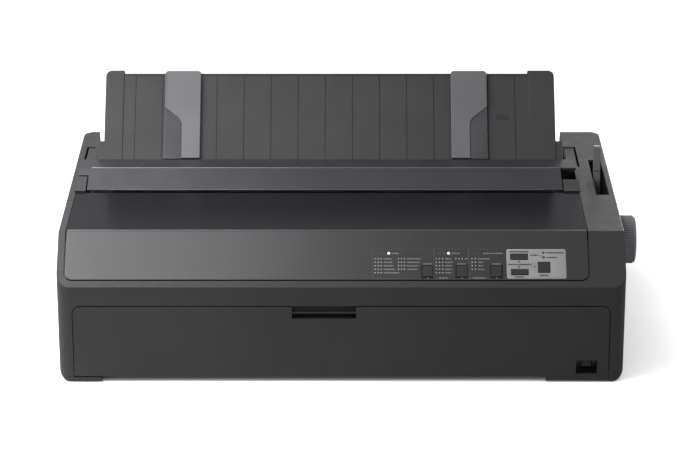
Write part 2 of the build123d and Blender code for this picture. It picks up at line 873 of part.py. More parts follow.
with BuildPart() as tension_unit:
    with BuildSketch(Plane.YZ.offset(cover_left)):
        with BuildLine():
            Polyline(
                (tension_front_y, tension_front_z - 1.8),
                (tension_front_y, tension_front_z),
                (tension_crest_y, tension_crest_z),
                (tension_rear_y, tension_rear_z),
                (tension_rear_y, tension_rear_z - tension_thick),
                (tension_crest_y + 0.4, tension_crest_z - tension_thick),
                (tension_front_y + 3.5, tension_front_z - 1.8),
                close=True,
            )
        make_face()
    extrude(amount=cover_right - cover_left)
    top_edges = tension_unit.edges().filter_by(Axis.X).sort_by(Axis.Z)
    fillet([edge for edge in top_edges if abs(edge.center().Y - tension_crest_y) < 0.1], 1.5)
    # The ends stop short of the hoods that stand in front of them
    block(
        cover_left,
        tension_left,
        tension_front_y - 1,
        tension_front_y + left_hood_rear + 4.0,
        under_deck,
        tension_rear_z + 1,
        Mode.SUBTRACT,
    )
    block(
        tension_right,
        cover_right,
        tension_front_y - 1,
        tension_crest_y - 1,
        under_deck,
        tension_rear_z + 1,
        Mode.SUBTRACT,
    )
    # Cheeks at both ends, down to the pins and the roller's shaft
    for x_low in (tension_left, tension_right - tension_cheek):
        with BuildSketch(Plane.YZ.offset(x_low)) as cheek:
            with BuildLine():
                Polyline(
                    (tension_pin_y - 5, tension_pin_z),
                    (tension_pin_y - 5, tension_front_z - 1.0),
                    (tension_crest_y, tension_crest_z - tension_thick),
                    (tension_crest_y + 16, tension_crest_z - tension_thick),
                    (roller_y + 9, roller_z - 7),
                    (tension_pin_y, tension_pin_z - 5),
                    close=True,
                )
            make_face()
            with Locations((tension_pin_y, tension_pin_z)):
                Circle(5.0)
            with Locations((tension_pin_y, tension_pin_z)):
                Circle(tension_pin_radius + shaft_gap, mode=Mode.SUBTRACT)
            with Locations((roller_y, roller_z)):
                Circle(roller_shaft_radius + shaft_gap, mode=Mode.SUBTRACT)
        extrude(cheek.sketch, amount=tension_cheek)
save(tension_unit.part, "tension_unit")

# Roller that keeps the paper taut, turning in the cheeks
with BuildPart() as tension_roller:
    rod(tension_left, tension_right, roller_y, roller_z, roller_shaft_radius)
    roller_pitch = (tension_right - tension_left - 2 * tension_cheek) / roller_count
    for i in range(roller_count):
        x_mid = tension_left + tension_cheek + (i + 0.5) * roller_pitch
        rod(x_mid - roller_length / 2, x_mid + roller_length / 2, roller_y, roller_z, roller_radius)
save(tension_roller.part, "tension_roller")

# Sheet guide, a grooved panel between two posts that leans back and folds flat
guide_height = 256.0
guide_post_depth = 10.0
guide_left_post = 21.6
guide_right_post = 31.0
guide_post_corner = 7.0
guide_panel_set = 1.0
guide_panel_thick = 3.0
guide_panel_drop = 4.0
guide_bead = 2.2
guide_groove = 0.8
guide_groove_pitch = 31.7
guide_groove_margin = 13.9
guide_rib_depth = 4.0
guide_edge = 1.0
guide_arm_width = 7.2
guide_arm_top = 33.0
guide_arm_set = 1.5
edge_gap = 0.3
edge_thick = 4.0
edge_top_gap = 2.4
edge_rise = edge_thick + edge_gap - guide_panel_set + 0.6

guide_plane = Plane(
    origin=(
        case_x,
        guide_pin_y - guide_post_depth / 2 * guide_cos,
        guide_pin_z + guide_post_depth / 2 * guide_sin,
    ),
    x_dir=(1, 0, 0),
    z_dir=(0, -guide_cos, guide_sin),
)
guide_top = (guide_height - guide_plane.origin.Z - edge_rise * guide_sin) / guide_cos + edge_top_gap


def guide_block(x_low, x_high, v_low, v_high, depth_low, depth_high, mode=Mode.ADD):
    """A block square to the sheet guide, between two depths behind its front."""
    with BuildSketch(guide_plane.offset(-depth_low)) as outline:
        with Locations(((x_low + x_high) / 2, (v_low + v_high) / 2)):
            Rectangle(x_high - x_low, v_high - v_low)
    extrude(outline.sketch, amount=depth_low - depth_high, mode=mode)


guide_posts = (
    (guide_left - case_x, guide_left - case_x + guide_left_post, Axis.X, 0),
    (guide_right - case_x - guide_right_post, guide_right - case_x, Axis.X, -1),
)
panel_low_x = guide_posts[0][1]
panel_high_x = guide_posts[1][0]
panel_top = guide_top - guide_panel_drop
guide_axis = Axis(guide_plane.origin, guide_plane.z_dir)
guide_groove_first = panel_low_x + guide_groove_margin
guide_groove_room = panel_high_x - guide_groove_margin - guide_groove_first
guide_groove_count = int(guide_groove_room / guide_groove_pitch) + 1

with BuildPart() as sheet_guide:
    for x_low, x_high, axis, outer in guide_posts:
        with BuildSketch(guide_plane) as post:
            with Locations(((x_low + x_high) / 2, guide_top / 2)):
                Rectangle(x_high - x_low, guide_top)
            fillet(post.vertices().group_by(Axis.Y)[-1].sort_by(axis)[outer], guide_post_corner)
        extrude(post.sketch, amount=-guide_post_depth)
        rod(x_low + case_x, x_high + case_x, guide_pin_y, guide_pin_z, guide_post_depth / 2)
    front_faces = sheet_guide.faces().filter_by(guide_plane).group_by(guide_axis)[-1]
    long_edges = [edge for face in front_faces for edge in face.edges().filter_by(Axis.X, reverse=True)]
    fillet(long_edges, guide_edge)
    guide_block(
        panel_low_x,
        panel_high_x,
        3.0,
        panel_top,
        guide_panel_set,
        guide_panel_set + guide_panel_thick,
    )
    # Arms beside the posts, clear of the ears
    for x_low in (guide_left - guide_arm_width, guide_right):
        guide_block(
            x_low - case_x,
            x_low - case_x + guide_arm_width,
            ear_radius + 1,
            guide_arm_top,
            guide_arm_set,
            guide_post_depth - guide_arm_set,
        )
    # Bead along the top, grooves down the front and ribs down the back
    guide_block(panel_low_x, panel_high_x, panel_top - guide_bead, panel_top, 0.4, guide_panel_set)
    for i in range(guide_groove_count):
        x_mid = guide_groove_first + i * guide_groove_pitch
        guide_block(
            x_mid - guide_groove / 2,
            x_mid + guide_groove / 2,
            3.0,
            panel_top - guide_bead - 1,
            guide_panel_set - 1,
            guide_panel_set + guide_groove,
            Mode.SUBTRACT,
        )
    for i in range(0, guide_groove_count, 2):
        x_mid = guide_groove_first + i * guide_groove_pitch
        guide_block(
            x_mid - 1,
            x_mid + 1,
            5.0,
            panel_top - 20,
            guide_panel_set + guide_panel_thick,
            guide_panel_set + guide_panel_thick + guide_rib_depth,
        )
    # Stub pins into the ears
    rod(guide_left - 8, guide_left, guide_pin_y, guide_pin_z, guide_pin_radius)
    rod(guide_right, guide_right + 8, guide_pin_y, guide_pin_z, guide_pin_radius)
save(sheet_guide.part, "sheet_guide")

# Edge guides, which slide along the sheet guide and hook over its top
edge_low = 10.0
edge_soft = 0.8
edge_pocket_top = 74.0
edge_pocket_mid = 60.0
edge_pocket_depth = 1.4
edge_flange = 1.2
edge_hook = 2.0
edge_hook_drop = 9.0
edge_width = 41.8
left_edge_x = guide_left - case_x + 70.0
right_edge_x = guide_right - case_x - 79.6
edge_guides = {
    "left_edge_guide": (left_edge_x, left_edge_x + edge_width, 1),
    "right_edge_guide": (right_edge_x - edge_width, right_edge_x, -1),
}

for edge_name, (x_low, x_high, inward) in edge_guides.items():
    outer_x = x_low if inward > 0 else x_high
    front_depth = -edge_rise
    back_depth = guide_panel_set + guide_panel_thick + edge_gap
    with BuildPart() as edge_guide:
        with BuildSketch(guide_plane.offset(-front_depth)) as plate:
            with Locations(((x_low + x_high) / 2, (edge_low + guide_top - edge_top_gap) / 2)):
                Rectangle(x_high - x_low, guide_top - edge_top_gap - edge_low)
            chamfer(plate.vertices().group_by(Axis.Y)[-1], 2.0)
        extrude(amount=-edge_thick)
        front_face = edge_guide.faces().sort_by(guide_axis)[-1]
        fillet(front_face.edges(), edge_soft)
        # Hook over the top edge of the panel
        guide_block(
            x_low + 3,
            x_high - 3,
            panel_top + edge_gap,
            guide_top - edge_top_gap,
            front_depth,
            back_depth,
        )
        guide_block(
            x_low + 3,
            x_high - 3,
            panel_top - edge_hook_drop,
            guide_top - edge_top_gap,
            back_depth,
            back_depth + edge_hook,
        )
        # Lower pocket on the outer half, under a slanting edge
        with BuildSketch(guide_plane.offset(-front_depth)) as pocket:
            with BuildLine():
                Polyline(
                    (outer_x, edge_low - 1),
                    (outer_x, edge_pocket_top),
                    (outer_x + inward * 17.5, edge_pocket_mid),
                    (outer_x + inward * 20.5, edge_pocket_mid - 6),
                    (outer_x + inward * 20.5, edge_low - 1),
                    close=True,
                )
            make_face()
        extrude(amount=-edge_pocket_depth, mode=Mode.SUBTRACT)
        # Thin flange along the outer edge above the pocket
        guide_block(
            min(outer_x, outer_x + inward * edge_flange),
            max(outer_x, outer_x + inward * edge_flange),
            edge_pocket_top,
            guide_top - edge_top_gap - 4,
            front_depth - 0.6,
            front_depth,
        )
    save(edge_guide.part, edge_name)

# Printing mechanism: two side plates on the tray's floor carry all that turns or slides
plate_thick = 2.0
plate_top = platen_z + 18.0
plate_left = left_x + 20.0
plate_right = right_x - 62.0
plate_front_y = platen_y - 64.0
plate_foot = 14.0

# Platen
platen_radius = 17.0
platen_gap = 8.0
platen_low_x = plate_left + platen_gap
platen_high_x = plate_right - platen_gap
platen_shaft_radius = 5.0
knob_gap = 1.0
knob_low_x = right_x + knob_gap

# Carriage and its rod, rail and belt
rod_y = platen_y - 36.0
rod_z = platen_z - 30.0
rod_radius = 5.0
rail_y = (plate_front_y, plate_front_y + 12.0)
rail_z = (rod_z + 7.0, rod_z + 7.0 + plate_thick)
carriage_x = plate_left + 58.0
carriage_half = 25.0
carriage_y = (rod_y - 20.0, rod_y + 12.0)
carriage_z = (rod_z - 8.0, rod_z + 20.0)
shelf_z = (rod_z - 26.0, rod_z - 26.0 + plate_thick)
shelf_y = (rod_y - 24.0, rod_y + 24.0)
shelf_reach = 52.0
belt_pulley_radius = 10.0
belt_pulley_flange = 12.0
belt_pulley_z = (shelf_z[1] + 3.0, shelf_z[1] + 15.0)
belt_z = (belt_pulley_z[0] + 3.0, belt_pulley_z[1] - 3.0)
belt_thick = 1.5
pulley_inset = 24.0
drive_pulley_x = plate_left + pulley_inset
idler_pulley_x = plate_right - pulley_inset
pulley_shaft_radius = 3.0
motor_radius = 20.0
motor_length = 36.0

# Print head and ribbon
head_half = 16.0
head_top = platen_z + 12.0
head_body_y = (carriage_y[0], carriage_y[1] - 4.0)
head_nose_half = 6.0
head_nose_z = (platen_z - 8.0, platen_z + 8.0)
ribbon_y = platen_y - platen_radius - 1.4
ribbon_thick = 0.3
ribbon_z = (platen_z - 6.5, platen_z + 6.5)
head_nose_y = ribbon_y - 0.5
cartridge_y = (carriage_y[0], ribbon_y)
cartridge_z = (carriage_z[1], deck_height - 9.5)
cartridge_bar_z = (cartridge_z[1] - 12.0, cartridge_z[1])
cartridge_bar_depth = 16.0
cartridge_left_box = 27.0
cartridge_right_box = 20.0
ribbon_knob_radius = 8.0
ribbon_knob_height = 4.6
ribbon_shaft_radius = 2.0

# Paper feed gears, outside the right plate
gear_module = 1.0
gear_backlash = 0.12
gear_low_x = plate_right + plate_thick + 2.0
gear_width = 6.0
platen_teeth = 48
idler_teeth = 36
pinion_teeth = 16
idler_angle = -50.0
pinion_angle = -80.0
idler_pin_radius = 3.0
feed_shaft_radius = 2.5

idler_distance = gear_module * (platen_teeth + idler_teeth) / 2 + gear_backlash
idler_y = platen_y + idler_distance * cos(radians(idler_angle))
idler_z = platen_z + idler_distance * sin(radians(idler_angle))
pinion_distance = gear_module * (idler_teeth + pinion_teeth) / 2 + gear_backlash
pinion_y = idler_y + pinion_distance * cos(radians(pinion_angle))
pinion_z = idler_z + pinion_distance * sin(radians(pinion_angle))

# Tractors, on a square drive shaft and a round support shaft
tractor_shaft_y = rear_y - 86.0
tractor_shaft_z = rear_sill + 4.5
tractor_square = 8.0
tractor_journal_radius = 3.9
support_y = tractor_shaft_y - 34.0
support_z = tractor_shaft_z - 4.5
support_radius = 4.0
feed_pulley_radius = 10.0
feed_pulley_low_x = gear_low_x + gear_width + 2.0
feed_belt_width = 5.0
feed_belt_gap = 0.3
tractor_width = 26.0
tractor_top = tractor_shaft_z + 14.5
tractor_front_y = tractor_shaft_y - 46.0
tractor_rear_y = tractor_shaft_y + 14.0
sprocket_radius = 12.5
sprocket_width = 12.0
sprocket_pins = 10
sprocket_pin_radius = 1.5
sprocket_pin_height = 2.4
gate_thick = 2.4
gate_width = 17.0
gate_y = (tractor_shaft_y - 40.0, tractor_shaft_y + 12.0)
gate_pin_radius = 1.4
tractors = {"left": (plate_left + 68.0, -1), "right": (plate_right - 83.0, 1)}
plate_rear_y = tractor_shaft_y + 12.0

# Paper thickness lever, outside the left plate
thickness_x = (plate_left - 9.0, plate_left - 5.5)
thickness_y = rod_y + 2.0
thickness_z = platen_z - 10.0
thickness_pin_radius = 3.0
thickness_length = 34.0


def gear(teeth, phase, bore):
    """The outline of a spur gear with straight flanks, turned by a phase in degrees."""
    pitch_radius = gear_module * teeth / 2
    half_tooth = 0.70 * gear_module
    flank = 0.364 * gear_module
    points = []
    for i in range(teeth):
        middle = radians(phase) + 2 * pi * i / teeth
        for rise, half, side in (
            (-1.15, half_tooth + 1.15 * flank, -1),
            (0.85, half_tooth - 0.85 * flank, -1),
            (0.85, half_tooth - 0.85 * flank, 1),
            (-1.15, half_tooth + 1.15 * flank, 1),
        ):
            radius = pitch_radius + rise * gear_module
            angle = middle + side * half / radius
            points.append((radius * cos(angle), radius * sin(angle)))
    with BuildSketch() as outline:
        with BuildLine():
            Polyline(*points, close=True)
        make_face()
        Circle(bore, mode=Mode.SUBTRACT)
    return outline.sketch


def add_gear(teeth, phase, bore, y, z):
    """A gear on an axis along X, in the part that is being built."""
    place = Plane(origin=(gear_low_x, y, z), x_dir=(0, 1, 0), z_dir=(1, 0, 0))
    extrude(place * gear(teeth, phase, bore), amount=gear_width)


def loop(y_a, z_a, y_b, z_b, inner, thick):
    """The outline of a belt that runs round two equal pulleys."""
    angle = atan2(z_b - z_a, y_b - y_a)
    length = hypot(y_b - y_a, z_b - z_a)
    with BuildSketch() as outline:
        with Locations(Location(((y_a + y_b) / 2, (z_a + z_b) / 2), degrees(angle))):
            SlotCenterToCenter(length, 2 * (inner + thick))
            SlotCenterToCenter(length, 2 * inner, mode=Mode.SUBTRACT)
    return outline.sketch


foot_z = (tray_floor, tray_floor + plate_thick)

# Left plate, with a shelf for the carriage motor and a pin for the thickness lever
with BuildPart() as left_side_plate:
    block(plate_left - plate_thick, plate_left, plate_front_y, plate_rear_y, tray_floor, plate_top)
    block(plate_left, plate_left + plate_foot, plate_front_y, plate_rear_y, *foot_z)
    block(plate_left, plate_left + shelf_reach, *shelf_y, *shelf_z)
    rod(plate_left - 9.5, plate_left - plate_thick, thickness_y, thickness_z, thickness_pin_radius)
    for y, z, radius in (
        (platen_y, platen_z, platen_shaft_radius + shaft_gap),
        (rod_y, rod_z, rod_radius),
        (tractor_shaft_y, tractor_shaft_z, tractor_journal_radius + shaft_gap),
    ):
        rod(plate_left - plate_thick - 1, plate_left + 1, y, z, radius, Mode.SUBTRACT)
    with Locations((drive_pulley_x, rod_y, sum(shelf_z) / 2)):
        Cylinder(pulley_shaft_radius + 2, 2 * plate_thick, mode=Mode.SUBTRACT)
save(left_side_plate.part, "left_side_plate")

# Right plate, with a shelf and pin for the idler pulley and a pin for the idler gear
with BuildPart() as right_side_plate:
    block(plate_right, plate_right + plate_thick, plate_front_y, plate_rear_y, tray_floor, plate_top)
    block(plate_right - plate_foot, plate_right, plate_front_y, plate_rear_y, *foot_z)
    block(plate_right - shelf_reach, plate_right, *shelf_y, *shelf_z)
    with Locations((idler_pulley_x, rod_y, (shelf_z[1] + belt_pulley_z[1]) / 2)):
        Cylinder(pulley_shaft_radius, belt_pulley_z[1] - shelf_z[1])
    rod(plate_right + plate_thick, gear_low_x + gear_width + 1, idler_y, idler_z, idler_pin_radius)
    for y, z, radius in (
        (platen_y, platen_z, platen_shaft_radius + shaft_gap),
        (rod_y, rod_z, rod_radius),
        (tractor_shaft_y, tractor_shaft_z, tractor_journal_radius + shaft_gap),
        (pinion_y, pinion_z, feed_shaft_radius + 3),
    ):
        rod(plate_right - 1, plate_right + plate_thick + 1, y, z, radius, Mode.SUBTRACT)
save(right_side_plate.part, "right_side_plate")

# Platen: a rubber sleeve on a steel shaft that ends in the knob
with BuildPart() as platen:
    rod(platen_low_x, platen_high_x, platen_y, platen_z, platen_radius)
    rod(platen_low_x, platen_high_x, platen_y, platen_z, platen_shaft_radius, Mode.SUBTRACT)
save(platen.part, "platen")

with BuildPart() as platen_shaft:
    rod(plate_left - plate_thick - 2, knob_low_x + 12, platen_y, platen_z, platen_shaft_radius)
save(platen_shaft.part, "platen_shaft")

# Knob, a hollow drum with a finely toothed rim
knob_wall = 2.4
knob_teeth = 60
knob_tooth = 0.7
knob_hub_radius = 9.0
knob_width = knob_reach - knob_gap
knob_plane = Plane(origin=(knob_low_x, platen_y, platen_z), x_dir=(0, 1, 0), z_dir=(1, 0, 0))

with BuildPart() as platen_knob:
    with BuildSketch(knob_plane):
        Circle(knob_radius)
        with PolarLocations(knob_radius, knob_teeth):
            Rectangle(2 * knob_tooth, 2 * knob_tooth, rotation=45, mode=Mode.SUBTRACT)
    extrude(amount=knob_width - 3)
    with BuildSketch(knob_plane.offset(knob_width - 3)):
        Circle(knob_radius - knob_tooth)
    extrude(amount=3)
    fillet(platen_knob.faces().sort_by(Axis.X)[-1].edges(), 2.4)
    with BuildSketch(knob_plane):
        Circle(knob_radius - knob_tooth - knob_wall)
        Circle(knob_hub_radius, mode=Mode.SUBTRACT)
    extrude(amount=knob_width - knob_wall, mode=Mode.SUBTRACT)
    rod(knob_low_x - 1, knob_low_x + 12, platen_y, platen_z, platen_shaft_radius, Mode.SUBTRACT)
save(platen_knob.part, "platen_knob")

# Platen gear, with the pulley that drives the tractors on its hub
with BuildPart() as platen_gear:
    add_gear(platen_teeth, idler_angle, platen_shaft_radius, platen_y, platen_z)
    feed_pulley_high_x = feed_pulley_low_x + feed_belt_width + 1
    rod(gear_low_x + gear_width, feed_pulley_high_x, platen_y, platen_z, feed_pulley_radius)
    rod(gear_low_x - 1, feed_pulley_high_x + 1, platen_y, platen_z, platen_shaft_radius, Mode.SUBTRACT)
save(platen_gear.part, "platen_gear")

# The idler shows a gap to the platen gear's tooth, and the pinion a gap to the idler's
idler_phase = idler_angle + 180 + 180 / idler_teeth
idler_steps = (pinion_angle - idler_phase) * idler_teeth / 360
idler_offset = (idler_steps - round(idler_steps)) * 360 / idler_teeth
pinion_phase = pinion_angle + 180 + 180 / pinion_teeth + idler_offset * idler_teeth / pinion_teeth

with BuildPart() as idler_gear:
    add_gear(idler_teeth, idler_phase, idler_pin_radius + shaft_gap, idler_y, idler_z)
save(idler_gear.part, "idler_gear")

# Paper feed motor under the right plate's gears, and its pinion
with BuildPart() as paper_feed_motor:
    rod(plate_right - motor_length, plate_right, pinion_y, pinion_z, motor_radius)
    fillet(paper_feed_motor.faces().sort_by(Axis.X)[0].edges(), 2.0)
    rod(plate_right - 6, plate_right, pinion_y, pinion_z, feed_shaft_radius + 2.5, Mode.SUBTRACT)
save(paper_feed_motor.part, "paper_feed_motor")

with BuildPart() as feed_pinion:
    add_gear(pinion_teeth, pinion_phase, feed_shaft_radius / 2, pinion_y, pinion_z)
    rod(plate_right - 5, gear_low_x + gear_width, pinion_y, pinion_z, feed_shaft_radius)
save(feed_pinion.part, "feed_pinion")

# Belt from the platen gear's hub to the tractor shaft
with BuildPart() as feed_belt:
    belt_plane = Plane(origin=(feed_pulley_low_x + 0.5, 0, 0), x_dir=(0, 1, 0), z_dir=(1, 0, 0))
    belt_outline = loop(
        platen_y,
        platen_z,
        tractor_shaft_y,
        tractor_shaft_z,
        feed_pulley_radius + feed_belt_gap,
        belt_thick,
    )
    extrude(belt_plane * belt_outline, amount=feed_belt_width)
save(feed_belt.part, "feed_belt")

# Carriage rod and the rail in front of it
with BuildPart() as carriage_rod:
    rod(plate_left - plate_thick, plate_right + plate_thick, rod_y, rod_z, rod_radius)
save(carriage_rod.part, "carriage_rod")

with BuildPart() as carriage_rail:
    block(plate_left, plate_right, *rail_y, *rail_z)
    block(plate_left, plate_right, rail_y[0], rail_y[0] + plate_thick, rail_z[0] - 12, rail_z[0])
save(carriage_rail.part, "carriage_rail")

# Carriage, bored for the rod, forked over the rail and clamped to the belt
with BuildPart() as carriage:
    block(carriage_x - carriage_half, carriage_x + carriage_half, *carriage_y, *carriage_z)
    rod(
        carriage_x - carriage_half - 1,
        carriage_x + carriage_half + 1,
        rod_y,
        rod_z,
        rod_radius + shaft_gap,
        Mode.SUBTRACT,
    )
    block(
        carriage_x - carriage_half - 1,
        carriage_x + carriage_half + 1,
        carriage_y[0] - 1,
        rail_y[1] + rest_gap,
        rail_z[0] - rest_gap,
        rail_z[1] + rest_gap,
        Mode.SUBTRACT,
    )
    clamp_y = rod_y + belt_pulley_radius + feed_belt_gap
    block(carriage_x - 6, carriage_x + 6, clamp_y - 2.3, carriage_y[1] + 2, belt_z[0] - 2.0, carriage_z[0])
    block(
        carriage_x - 7,
        carriage_x + 7,
        clamp_y - rest_gap,
        clamp_y + belt_thick + rest_gap,
        belt_z[0] - 3.0,
        belt_z[1] + rest_gap,
        Mode.SUBTRACT,
    )
save(carriage.part, "carriage")

# Print head, with cooling fins and a nose behind the ribbon
head_fins = 6
head_fin_gap = 1.6

with BuildPart() as print_head:
    block(carriage_x - head_half, carriage_x + head_half, *head_body_y, carriage_z[1], head_top)
    fin_pitch = (head_body_y[1] - head_body_y[0]) / (head_fins + 1)
    for i in range(head_fins):
        y = head_body_y[0] + (i + 1) * fin_pitch
        block(
            carriage_x - head_half - 1,
            carriage_x + head_half + 1,
            y - head_fin_gap / 2,
            y + head_fin_gap / 2,
            head_top - 12,
            head_top + 1,
            Mode.SUBTRACT,
        )
    block(
        carriage_x - head_nose_half,
        carriage_x + head_nose_half,
        head_body_y[1],
        head_nose_y,
        *head_nose_z,
    )
save(print_head.part, "print_head")

# Ribbon cartridge across the machine, over the carriage's path
cartridge_left = plate_left + rest_gap
cartridge_right = plate_right - rest_gap
ribbon_knob_x = cartridge_left + cartridge_left_box / 2
ribbon_knob_y = rod_y - 2.0

with BuildPart() as ribbon_cartridge:
    block(cartridge_left, cartridge_left + cartridge_left_box, *cartridge_y, *cartridge_z)
    block(cartridge_right - cartridge_right_box, cartridge_right, *cartridge_y, *cartridge_z)
    block(
        cartridge_left,
        cartridge_right,
        cartridge_y[0],
        cartridge_y[0] + cartridge_bar_depth,
        *cartridge_bar_z,
    )
    with Locations((ribbon_knob_x, ribbon_knob_y, cartridge_z[1])):
        Cylinder(ribbon_shaft_radius + shaft_gap, 24, mode=Mode.SUBTRACT)
save(ribbon_cartridge.part, "ribbon_cartridge")

with BuildPart() as ribbon:
    block(
        cartridge_left + 8,
        cartridge_right - 8,
        ribbon_y,
        ribbon_y + ribbon_thick,
        *ribbon_z,
    )
save(ribbon.part, "ribbon")

with BuildPart() as ribbon_knob:
    knob_base = cartridge_z[1] + 0.2
    with Locations((ribbon_knob_x, ribbon_knob_y, knob_base + ribbon_knob_height / 2)):
        Cylinder(ribbon_knob_radius, ribbon_knob_height)
    with Locations((ribbon_knob_x, ribbon_knob_y, knob_base - 5)):
        Cylinder(ribbon_shaft_radius, 10)
save(ribbon_knob.part, "ribbon_knob")

# Carriage motor hung under the left shelf, and the two belt pulleys
with BuildPart() as carriage_motor:
    motor_low_z = shelf_z[0] - motor_length
    with Locations((drive_pulley_x, rod_y, (motor_low_z + shelf_z[0]) / 2)):
        Cylinder(motor_radius, motor_length)
    fillet(carriage_motor.faces().sort_by(Axis.Z)[0].edges(), 2.0)
    with Locations((drive_pulley_x, rod_y, shelf_z[0])):
        Cylinder(pulley_shaft_radius + 2, 12, mode=Mode.SUBTRACT)
save(carriage_motor.part, "carriage_motor")


def belt_pulley(x, bore):
    """A flanged pulley on an upright axis, in the part that is being built."""
    middle = sum(belt_pulley_z) / 2
    with Locations((x, rod_y, middle)):
        Cylinder(belt_pulley_radius, belt_pulley_z[1] - belt_pulley_z[0])
    flange = (belt_pulley_z[1] - belt_z[1]) / 2
    for z in (belt_pulley_z[0] + flange / 2, belt_pulley_z[1] - flange / 2):
        with Locations((x, rod_y, z)):
            Cylinder(belt_pulley_flange, flange)
    if bore > 0:
        with Locations((x, rod_y, middle)):
            Cylinder(bore, 20, mode=Mode.SUBTRACT)


with BuildPart() as drive_pulley:
    belt_pulley(drive_pulley_x, 0)
    with Locations((drive_pulley_x, rod_y, (shelf_z[0] - 5 + belt_pulley_z[0]) / 2)):
        Cylinder(pulley_shaft_radius, belt_pulley_z[0] - shelf_z[0] + 5)
save(drive_pulley.part, "drive_pulley")

with BuildPart() as idler_pulley:
    belt_pulley(idler_pulley_x, pulley_shaft_radius + shaft_gap)
save(idler_pulley.part, "idler_pulley")

with BuildPart() as carriage_belt:
    with BuildSketch(Plane.XY.offset(belt_z[0])) as carriage_loop:
        with Locations(((drive_pulley_x + idler_pulley_x) / 2, rod_y)):
            span = idler_pulley_x - drive_pulley_x
            belt_inner = belt_pulley_radius + feed_belt_gap
            SlotCenterToCenter(span, 2 * (belt_inner + belt_thick))
            SlotCenterToCenter(span, 2 * belt_inner, mode=Mode.SUBTRACT)
    extrude(amount=belt_z[1] - belt_z[0])
save(carriage_belt.part, "carriage_belt")

# Tractor shafts: the square one turns and the round one is fixed
with BuildPart() as tractor_drive_shaft:
    rod(
        plate_left - plate_thick - 1,
        feed_pulley_low_x + feed_belt_width + 2,
        tractor_shaft_y,
        tractor_shaft_z,
        tractor_journal_radius,
    )
    block(
        plate_left + 1,
        plate_right - 1,
        tractor_shaft_y - tractor_square / 2,
        tractor_shaft_y + tractor_square / 2,
        tractor_shaft_z - tractor_square / 2,
        tractor_shaft_z + tractor_square / 2,
    )
    rod(
        feed_pulley_low_x,
        feed_pulley_low_x + feed_belt_width + 1,
        tractor_shaft_y,
        tractor_shaft_z,
        feed_pulley_radius,
    )
save(tractor_drive_shaft.part, "tractor_drive_shaft")

with BuildPart() as tractor_support_shaft:
    rod(plate_left, plate_right, support_y, support_z, support_radius)
save(tractor_support_shaft.part, "tractor_support_shaft")

# Tractors: a body that slides on both shafts, a sprocket that turns in it and a gate over the pins
sprocket_hub_radius = 8.0
gate_pin_z = tractor_top - 1.0

